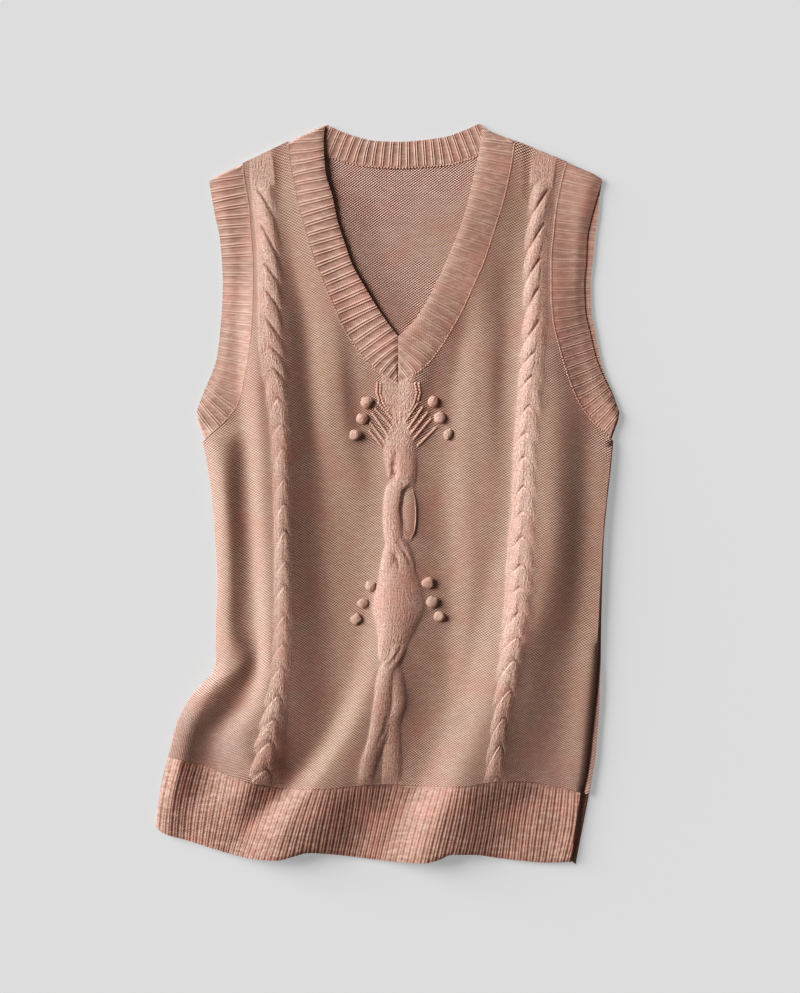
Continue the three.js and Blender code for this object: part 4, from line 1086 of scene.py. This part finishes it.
BOBBLE = {"radius": 5.8, "height": 3.2, "sunk": 1.2, "lumps": 0.24, "lump_size": 4.6}
BOBBLES = table(
    "x y wide tall",
    (-20.2, 89.3, 1.0, 0.95),
    (-25, 73, 0.98, 0.93),
    (-31.7, 57.6, 1.0, 0.9),
    (43.2, 89.3, 1.0, 0.95),
    (49.9, 73.9, 1.0, 1.0),
    (57.6, 58.6, 0.8, 0.9),
    (-16.3, -87.4, 0.95, 0.9),
    (-24, -103.7, 0.95, 0.9),
    (-30.7, -119, 0.95, 0.9),
    (38.4, -84.5, 0.95, 0.9),
    (42.2, -102.7, 1.0, 0.9),
    (49.9, -117.1, 1.05, 0.9),
)


def front_level(x, y):
    """Upper level of the front's plain ground."""
    return FRONT_FLOOR + WALL + fold_height(x, y)


def smooth_piece(name, bm):
    """An object of all that a bmesh holds, with smooth shading."""
    for f in bm.faces:
        f.smooth = True
    mesh = bpy.data.meshes.new(name)
    bm.to_mesh(mesh)
    bm.free()
    return put_in_scene(name, mesh)


bm = bmesh.new()
half_height = (BOBBLE["height"] + BOBBLE["sunk"]) / 2
levels = front_level(BOBBLES["x"], BOBBLES["y"])
for x, y, wide, tall, level in zip(*BOBBLES.values(), levels):
    place = Matrix.Translation(Vector((x, y, level - BOBBLE["sunk"] + half_height)) * MM)
    size = Matrix.Diagonal((wide * BOBBLE["radius"] * MM, tall * BOBBLE["radius"] * MM, half_height * MM, 1))
    shape = place @ size
    ball = bmesh.ops.create_uvsphere(bm, u_segments=28, v_segments=18, radius=1, matrix=shape, calc_uvs=True)
    for vert in ball["verts"]:
        lump = turbulence.noise(vert.co / (BOBBLE["lump_size"] * MM))
        vert.co += (vert.co - place.translation) * BOBBLE["lumps"] * lump
bobbles = smooth_piece("bobbles", bm)
BOBBLE_LIGHT = (0.9, 0.64, 0.54)
BOBBLE_DARK = (0.25, 0.12, 0.085)
bobbles.data.materials.append(wool("bobble_knit", BOBBLE_LIGHT, BOBBLE_DARK, 1.8, plain=1.0))
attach(bobbles, "root")

# Front hem rib
# The front's border in rib, two plain columns then a purl furrow, linked under the body. It is open at
# the bottom, and the two big folds run out through it.

HEM_GRID = {"columns": 816, "rows": 36, "coarse": 3}
HEM_RIBS = 68
HEM_RIB_HEIGHT = 0.42
# How far the ribs lean from the seam to the edge, counted in ribs: everywhere, and beside the two folds
HEM_LEAN = 0.2
HEM_FOLD_LEAN = 1.9


def place_front_hem(u, v, outer):
    top_x = mix(-211.4, 186, u)
    low_x = mix(-223.4, 176.4, u)
    top_y = read(HEM_SEAM, "x", "y", top_x) - HALF_GAP
    low_y = read(HEM_EDGE, "x", "y", low_x)
    y = mix(top_y, low_y, v)
    near = bell(np.where(u < 0.5, u, 1 - u) * 6)
    x = mix(top_x, low_x, v) + np.where(u < 0.5, -1, 1) * 2 * np.sin(np.pi * v) * near
    full = side_share(x, y)
    inner = back_top(x, y) + LAYER_GAP + fold_height(x, y) * full
    lean = HEM_LEAN + HEM_FOLD_LEAN * (bell((u - 0.26) / 0.16) + 0.8 * bell((u - 0.6) / 0.16))
    ribs = u * HEM_RIBS + lean * v + 0.25 * np.sin(u * 23) * np.sin(v * 3)
    rib = rib_profile(ribs)
    end = smooth(v * 22) * (0.55 + 0.45 * smooth((1 - v) * 30))
    wall = mix(EDGE_WALL, WALL - 0.4, full) * mix(1, 0.5, smooth((v - 0.94) / 0.06))
    z = np.where(outer, inner + wall + HEM_RIB_HEIGHT * rib * end * full, inner)
    stitches = np.column_stack([ribs * 2 + 0.1, v * HEM_HEIGHT / STITCH_HEIGHT])
    return np.column_stack([x, y, z]), stitches, {"furrow": 1 - rib}


def furrow_shade(tree, height, shade):
    """The furrow between two ribs lies in shade."""
    deep = value(tree, "MULTIPLY", attribute(tree, "furrow"), 0.28)
    return height, value(tree, "SUBTRACT", shade, deep)


front_hem = knitted(
    "front_hem_rib_knit",
    flat_shell(HEM_GRID["columns"], HEM_GRID["rows"], HEM_GRID["coarse"]),
    place_front_hem,
)
front_rib_wool = wool("hem_rib_front", RIB_LIGHT, RIB_DARK, 0.4, plain=0.6, extra=furrow_shade)
front_hem.data.materials.append(front_rib_wool)
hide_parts("front_hem_rib")
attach(front_hem, "root")

# Neckband
# One ribbed strip linked round the neck. It starts at the mitre of the V, runs up both sides of the
# front, turns over at each shoulder and runs behind the neck.

TURN_AXIS = WALL + LAYER_GAP / 2
TURN_OUTSIDE = WALL + LAYER_GAP / 2
TURN_INSIDE = LAYER_GAP / 2
NECK_PITCH = {"front": 9.4, "back": 7.8}
NECK_STEPS = {"front": 330, "turn": 12, "back": 240}
NECK_COLUMNS = 924
NECK_ROWS = 9
BAND_RELIEF = 0.5
BAND_WIDTH = 38
BAND_COLUMNS = 4
BAND_STITCH = 2.1
EDGE_LUMP = 0.5
# Share of the band's run that lies along the mitre
MITRE_SHARE = 5 / 27


def moved(points, distance):
    """A line of points moved sideways."""
    step = np.gradient(points, axis=0)
    step /= np.linalg.norm(step, axis=1)[:, None]
    return points + np.column_stack([-step[:, 1], step[:, 0]]) * distance


def along(points, shares):
    """Points at shares of a line's length."""
    steps = np.linalg.norm(np.diff(points, axis=0), axis=1)
    run = np.concatenate([[0], np.cumsum(steps)]) / steps.sum()
    return np.column_stack([np.interp(shares, run, points[:, 0]), np.interp(shares, run, points[:, 1])])


def length_of(points):
    """Length of a line up to each of its points."""
    return np.concatenate([[0], np.cumsum(np.linalg.norm(np.diff(points, axis=0), axis=1))])


def front_neck(side):
    """Seam and edge points of the band on one side of the V, from the mitre up to the shoulder."""
    sign = 1 if side == "left" else -1
    y = np.linspace(341, VEE_SEAM_Y, 161)
    seam = moved(np.column_stack([read(NECK_SEAM, "y", side, y), y]), sign * HALF_GAP)
    seam = seam[seam[:, 1] < shoulder_at(seam[:, 0]) - TURN_OUTSIDE]
    seam = seam[sign * (VEE_X - seam[:, 0]) > 0.3][::-1]
    tip = np.array([VEE_X, VEE_SEAM_Y + HALF_GAP + 0.06])
    seam = np.vstack([tip, seam])
    y = np.linspace(VEE_EDGE_Y, 357, 121)
    edge = np.column_stack([read(NECK_EDGE, "y", side, y), y])
    edge = edge[edge[:, 1] < shoulder_at(edge[:, 0]) - TURN_OUTSIDE]
    shares = np.linspace(0, 1, NECK_STEPS["front"] + 1)
    on_mitre = shares <= MITRE_SHARE
    mitre = np.column_stack([np.full_like(shares, VEE_X), mix(tip[1], VEE_EDGE_Y, shares / MITRE_SHARE)])
    free = along(edge, np.clip((shares - MITRE_SHARE) / (1 - MITRE_SHARE), 0, 1))
    return along(seam, shares), np.where(on_mitre[:, None], mitre, free)


def stations(parts):
    """Joins the runs of band sections, with one array for each kind of value."""
    keys = ("seam", "edge", "angle", "toward", "ribs", "slant")
    return {key: np.concatenate([part[key] for part in parts]) for key in keys}


def squared(seam, edge, ribs):
    """Ribs gained from the seam to the free edge, so that each rib crosses the band square."""
    run = np.gradient(seam, axis=0)
    step = np.linalg.norm(run, axis=1)
    return ((edge - seam) * run).sum(axis=1) / step**2 * np.gradient(ribs)


def flat_run(seam, edge, angle, ribs):
    """Band sections that lie flat: angle 90 on the front, -90 on the back."""
    count = len(seam)
    return {
        "seam": seam,
        "edge": edge,
        "angle": np.full(count, float(angle)),
        "toward": np.zeros((count, 2)),
        "ribs": ribs,
        "slant": squared(seam, edge, ribs),
    }


def turn_run(seam, edge, toward, steps, start, end, ribs, slants):
    """Band sections that turn from one side to the other round an axis at mid height."""
    share = (np.arange(steps) + 1) / (steps + 1)
    return {
        "seam": np.repeat(seam[None], steps, axis=0),
        "edge": np.repeat(edge[None], steps, axis=0),
        "angle": mix(start, end, share),
        "toward": np.repeat(np.array([toward], float), steps, axis=0),
        "ribs": np.full(steps, float(ribs)),
        "slant": mix(*slants, share),
    }


def rib_pair(count, w):
    """Band rib: a pair of raised plain columns with a thin furrow between, on a purl ground."""
    f = count - np.floor(count)
    first = bell((f - 0.37) / 0.14)
    second = bell((f - 0.63) / 0.14)
    reach = smooth((w - 0.015) / 0.05) * (0.7 + 0.3 * smooth((1 - w) / 0.05))
    return np.maximum(first, second) * reach


def place_band(stops, roll):
    """Placing of a band's shell over its sections: u runs along it, v from the seam to the free edge.

    Roll says how much the free edge thins out, and over what share of the width.
    """

    def place(u, v, outer):
        count = len(stops["seam"])
        at = u * (count - 1)
        i = np.arange(count)

        def get(key, part=None):
            column = stops[key] if part is None else stops[key][:, part]
            return np.interp(at, i, column)

        ribs = get("ribs") + (v - 0.5) * get("slant")
        rib = rib_pair(ribs, v)
        lump = EDGE_LUMP * (0.4 + np.cos(2 * np.pi * ribs) ** 2) * smooth((v - 0.86) / 0.14)
        lies_flat = np.abs(get("angle")) > 89.9999
        reach = v + lump / BAND_WIDTH * lies_flat
        x = mix(get("seam", 0), get("edge", 0), reach)
        y = mix(get("seam", 1), get("edge", 1), reach)
        angle = np.radians(get("angle"))
        rolled = 1 - roll[0] * smooth((v - 1 + roll[1]) / roll[1])
        shown = smooth((get("angle") + 90) / 60)
        inside = -0.4 * rib * (1 - shown)
        radius = np.where(outer, TURN_OUTSIDE * rolled + BAND_RELIEF * rib * shown, TURN_INSIDE + inside)
        lift = fold_height(x, y) * smooth((get("angle") - 60) / 30)
        px = x + get("toward", 0) * np.cos(angle) * radius
        py = y + get("toward", 1) * np.cos(angle) * radius
        pz = TURN_AXIS + np.sin(angle) * radius + lift
        stitches = np.column_stack([ribs * BAND_COLUMNS, v * BAND_WIDTH / BAND_STITCH])
        return np.column_stack([px, py, np.maximum(pz, 0)]), stitches, {}

    return place


def band_ribs(tree, height, shade):
    """Each rib is two fine plain columns with a furrow between them, on a purl ground: painted highlight
    makes the columns paler, and painted shade darkens the ground and the furrow.
    """
    split = tree.nodes.new("ShaderNodeSeparateXYZ")
    tree.links.new(tree.nodes.new("ShaderNodeTexCoord").outputs["UV"], split.inputs[0])
    f = value(tree, "FRACT", value(tree, "DIVIDE", split.outputs[0], float(BAND_COLUMNS)))
    off_pair = value(tree, "ABSOLUTE", value(tree, "SUBTRACT", f, 0.5))
    off_line = value(tree, "ABSOLUTE", value(tree, "SUBTRACT", off_pair, 0.13))
    line = value(tree, "MAXIMUM", value(tree, "MULTIPLY_ADD", off_line, -1 / 0.11, 1.0), 0.0)
    furrow = value(tree, "MAXIMUM", value(tree, "MULTIPLY_ADD", off_pair, -1 / 0.07, 1.0), 0.0)
    starts = value(tree, "MINIMUM", value(tree, "MAXIMUM", split.outputs[1], 0.0), 1.0)
    line = value(tree, "MULTIPLY", line, starts)
    height = value(tree, "MULTIPLY_ADD", height, 0.3, value(tree, "MULTIPLY", line, 0.7))
    ground = value(tree, "MULTIPLY_ADD", shade, 0.55, 0.14)
    shade = value(tree, "MULTIPLY_ADD", line, 0.4, ground)
    return height, value(tree, "SUBTRACT", shade, value(tree, "MULTIPLY", furrow, 0.16))


neck_left = front_neck("left")
neck_right = front_neck("right")
top_left = (neck_left[0][-1], neck_left[1][-1])
top_right = (neck_right[0][-1], neck_right[1][-1])
back_x = np.linspace(top_left[0][0], top_right[0][0], 81)
back_seam = moved(np.column_stack([back_x, read(BACK_NECK, "x", "seam", back_x)]), HALF_GAP)
edge_x = np.linspace(top_left[1][0], top_right[1][0], 81)
back_edge = np.column_stack([edge_x, read(BACK_NECK, "x", "edge", edge_x)])
back_seam[0], back_edge[0] = top_left
back_seam[-1], back_edge[-1] = top_right
shares = np.linspace(0, 1, NECK_STEPS["back"] + 1)
back_seam, back_edge = along(back_seam, shares), along(back_edge, shares)
front_ribs = round(length_of((neck_left[0] + neck_left[1]) / 2)[-1] / NECK_PITCH["front"])
back_ribs = round(length_of((back_seam + back_edge) / 2)[-1] / NECK_PITCH["back"])
up_left = length_of(neck_left[0])
up_right = length_of(neck_right[0])
run_left = flat_run(*neck_left, 90, up_left / up_left[-1] * front_ribs)
run_back = flat_run(back_seam, back_edge, -90, front_ribs + shares * back_ribs)
down_right = 1 - up_right[::-1] / up_right[-1]
run_right = flat_run(
    neck_right[0][::-1],
    neck_right[1][::-1],
    90,
    front_ribs + back_ribs + down_right * front_ribs,
)
over_left = (run_left["slant"][-1], run_back["slant"][0])
over_right = (run_back["slant"][-1], run_right["slant"][0])
neck_stops = stations(
    [
        run_left,
        turn_run(*top_left, (0, 1), NECK_STEPS["turn"], 90, -90, front_ribs, over_left),
        run_back,
        turn_run(*top_right, (0, 1), NECK_STEPS["turn"], -90, 90, front_ribs + back_ribs, over_right),
        run_right,
    ]
)
BAND_LIGHT = (0.68, 0.465, 0.39)
BAND_DARK = (0.15, 0.058, 0.04)
band_wool = wool("band_rib", BAND_LIGHT, BAND_DARK, 0.55, extra=band_ribs)
NECK_ROLL = (0.35, 0.08)
neckband = knitted(
    "neckband_knit",
    flat_shell(NECK_COLUMNS, NECK_ROWS, 1),
    place_band(neck_stops, NECK_ROLL),
    closed=True,
)
neckband.data.materials.append(band_wool)
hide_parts("neckband")
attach(neckband, "root")

# Armhole bands
# A ribbed strip linked round each armhole. The front layer runs down to the underarm, turns under and
# comes back up behind to the shoulder, where it closes.

ARM_STEPS = {"flat": 330, "turn": 12}
ARM_PITCH = 9.2
ARM_ROLL = (0.7, 0.3)
for side, sign, shoulder in (("left", 1, (-0.13, 0.99)), ("right", -1, (0.26, 0.965))):
    y = np.linspace(321, UNDERARM_Y, 161)
    seam = moved(np.column_stack([read(ARM_SEAM, "y", side, y), y]), -sign * HALF_GAP)
    seam = seam[(seam[:, 1] < shoulder_at(seam[:, 0]) - TURN_OUTSIDE) & (seam[:, 1] > UNDERARM_Y + 2.4)]
    y = np.linspace(303, 78, 121)
    edge = np.column_stack([read(ARM_EDGE, "y", side, y), y])
    edge = edge[(edge[:, 1] < shoulder_at(edge[:, 0]) - TURN_OUTSIDE) & (edge[:, 1] > 79.4)]
    shares = np.linspace(0, 1, ARM_STEPS["flat"] + 1)
    seam, edge = along(seam, shares), along(edge, shares)
    ribs = round(length_of((seam + edge) / 2)[-1] / ARM_PITCH)
    past = read(ARM_EDGE, "y", "past", edge[:, 1]) if side == "right" else np.full(len(shares), -0.6)
    past = np.where((shares < 0.001) | (shares > 0.999), 0, past)
    back_edge = edge - np.column_stack([sign * past, 0 * past])
    underarm = (-sign * 0.72, -0.69)
    down = flat_run(seam, edge, 90, shares * ribs)
    up = flat_run(seam[::-1], back_edge[::-1], -90, ribs + shares * ribs)
    under = (down["slant"][-1], up["slant"][0])
    over = (up["slant"][-1], down["slant"][0])
    close = {key: column[:1] for key, column in down.items()}
    close["ribs"] = np.array([2.0 * ribs])
    stops = stations(
        [
            down,
            turn_run(seam[-1], edge[-1], underarm, ARM_STEPS["turn"], 90, -90, ribs, under),
            up,
            turn_run(seam[0], edge[0], shoulder, ARM_STEPS["turn"], -90, 90, 2 * ribs, over),
            close,
        ]
    )
    name = f"armhole_band_{side}"
    shell = flat_shell(len(stops["seam"]) - 1, NECK_ROWS, 1)
    band = knitted(name + "_knit", shell, place_band(stops, ARM_ROLL), closed=True)
    band.data.materials.append(band_wool)
    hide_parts(name)
    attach(band, "root")

# Linking chains
# The bands and the bodies are joined by rows of linked stitches that show as pale knotted
# chains. The same open chains are worked as a fan between the point of the V and the middle cable.

LINK = {"pitch": 3.0, "long": 1.45, "wide": 0.85, "tall": 0.42}
FAN_LINK = {"pitch": 2.7, "long": 1.6, "wide": 1.7, "tall": 0.9}
FAN_RAYS = (
    ((-9.6, 89.3), (8.3, 69)),
    ((-12.5, 83.5), (4.8, 64.3)),
    ((-14.9, 78.7), (0, 57.6)),
    ((-17.3, 70), (-2.9, 50.9)),
    ((-18.2, 62.4), (-5.3, 46)),
    ((28.8, 88.3), (16.3, 70)),
    ((33.6, 84.5), (18.7, 62.4)),
    ((38.4, 79.7), (21.1, 57.6)),
    ((41.9, 73.9), (24, 52.8)),
    ((46.8, 65.3), (28.3, 47)),
)
FAN_FRAME = (
    ((-6.7, 108), (-7.4, 98), (-4, 88), (1, 80)),
    ((-10, 108), (-10.6, 98), (-8, 90)),
    ((26, 108), (27.8, 98), (25, 88), (21, 80)),
    ((29.5, 108), (31, 98), (29, 91)),
    ((7.5, 78), (8, 68)),
    ((12, 80), (12, 68)),
)


def add_chain(bm, link_mesh, points, link, height):
    """A row of small links along a line, turned a little to each side in turn."""
    run = length_of(points)
    count = max(2, round(run[-1] / link["pitch"]))
    spots = along(points, (np.arange(count) + 0.5) / count)
    heading = np.gradient(spots, axis=0)
    angles = np.arctan2(heading[:, 1], heading[:, 0])
    levels = height(spots[:, 0], spots[:, 1])
    for k, (spot, angle, level) in enumerate(zip(spots, angles, levels)):
        turn = Matrix.Rotation(float(angle) + 0.42 * (-1) ** k, 4, "Z")
        size = Matrix.Diagonal((link["long"] * MM, link["wide"] * MM, link["tall"] * MM, 1))
        place = Matrix.Translation(Vector((*spot, level)) * MM) @ turn @ size
        link_mesh.transform(place)
        bm.from_mesh(link_mesh)
        link_mesh.transform(place.inverted())


def back_level(x, y):
    return np.full_like(x, WALL)


bm = bmesh.new()
bmesh.ops.create_uvsphere(bm, u_segments=8, v_segments=5, radius=1)
one_link = bpy.data.meshes.new("one_link")
bm.to_mesh(one_link)
bm.clear()
y = np.linspace(VEE_SEAM_Y, 338, 161)
for side in ("left", "right"):
    seam = np.column_stack([read(NECK_SEAM, "y", side, y), y])
    add_chain(bm, one_link, seam[seam[:, 1] < shoulder_at(seam[:, 0]) - 2], LINK, front_level)
y = np.linspace(UNDERARM_Y + 3, 318, 161)
for side in ("left", "right"):
    add_chain(bm, one_link, np.column_stack([read(ARM_SEAM, "y", side, y), y]), LINK, front_level)
x = np.linspace(-92, 118, 161)
add_chain(bm, one_link, np.column_stack([x, read(BACK_NECK, "x", "seam", x) - 0.6]), LINK, back_level)
for line in FAN_RAYS + FAN_FRAME:
    add_chain(bm, one_link, along(np.array(line, float), np.linspace(0, 1, 21)), FAN_LINK, front_level)
bpy.data.meshes.remove(one_link)
chains = smooth_piece("linking_chains", bm)
CHAIN_LIGHT = (0.68, 0.46, 0.38)
CHAIN_DARK = (0.35, 0.17, 0.13)
chains.data.materials.append(wool("chain_wool", CHAIN_LIGHT, CHAIN_DARK, 0.3, plain=1.0))
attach(chains, "root")

# Table, light and camera
# A plain pale table top under the vest that glows a little, painted light that lightens the shadows on it,
# a broad soft light from the upper left and a camera straight above.

TABLE_SIZE = 6.0
TABLE_SHADE = 0.38
TABLE_GLOW_TINT = (0.958, 0.982, 1.0)
TABLE_FINISH_AND_GLOW = {
    "Base Color": (TABLE_SHADE, TABLE_SHADE, TABLE_SHADE, 1),
    "Roughness": 0.9,
    "Specular IOR Level": 0.0,
    # The table's emission is painted light: it glows to lighten the shadows cast on it
    "Emission Color": (*TABLE_GLOW_TINT, 1),
    "Emission Strength": 0.334,
}
bm = bmesh.new()
just_under = Matrix.Translation((0, 0, -0.0002))
bmesh.ops.create_grid(bm, x_segments=1, y_segments=1, size=TABLE_SIZE / 2, matrix=just_under)
table_top = smooth_piece("table_top", bm)
paper = bpy.data.materials.new("pale_glowing_paper")
paper.use_nodes = True
for quality, amount in TABLE_FINISH_AND_GLOW.items():
    paper.node_tree.nodes["Principled BSDF"].inputs[quality].default_value = amount
table_top.data.materials.append(paper)

KEY_STRENGTH = 7.9
KEY_FROM = Vector((-0.87, 0.34, 0.36))
KEY_SPREAD = math.radians(40)
ROOM_STRENGTH = 0.15
ROOM_TINT = (1.0, 0.86, 0.76)
key = bpy.data.lights.new("key_light", "SUN")
key.energy = KEY_STRENGTH
key.angle = KEY_SPREAD
key_light = put_in_scene("key_light", key)
key_light.rotation_euler = KEY_FROM.to_track_quat("Z", "Y").to_euler()
room = bpy.data.worlds.new("room")
room.use_nodes = True
room.node_tree.nodes["Background"].inputs["Color"].default_value = (*ROOM_TINT, 1)
room.node_tree.nodes["Background"].inputs["Strength"].default_value = ROOM_STRENGTH
bpy.context.scene.world = room

# The print deepens the darks and leaves the middle tones and lights
PRINT_TONES = ((0.05, 0.025), (0.11, 0.073), (0.21, 0.176), (0.3, 0.282), (0.45, 0.45), (0.72, 0.72))
view = bpy.context.scene.view_settings
view.view_transform = "Standard"
view.use_curve_mapping = True
for tone, printed in PRINT_TONES:
    view.curve_mapping.curves[3].points.new(tone, printed)
view.curve_mapping.update()

CAMERA_AT = (0.0115, -0.0014, 2.5)
VIEW_HEIGHT = 0.9533
FOCUS_LEVEL = 0.006
lens = bpy.data.cameras.new("camera")
lens.sensor_fit = "VERTICAL"
lens.sensor_height = 24
lens.lens = lens.sensor_height * (CAMERA_AT[2] - FOCUS_LEVEL) / VIEW_HEIGHT
camera = put_in_scene("camera", lens)
camera.location = CAMERA_AT
bpy.context.scene.camera = camera
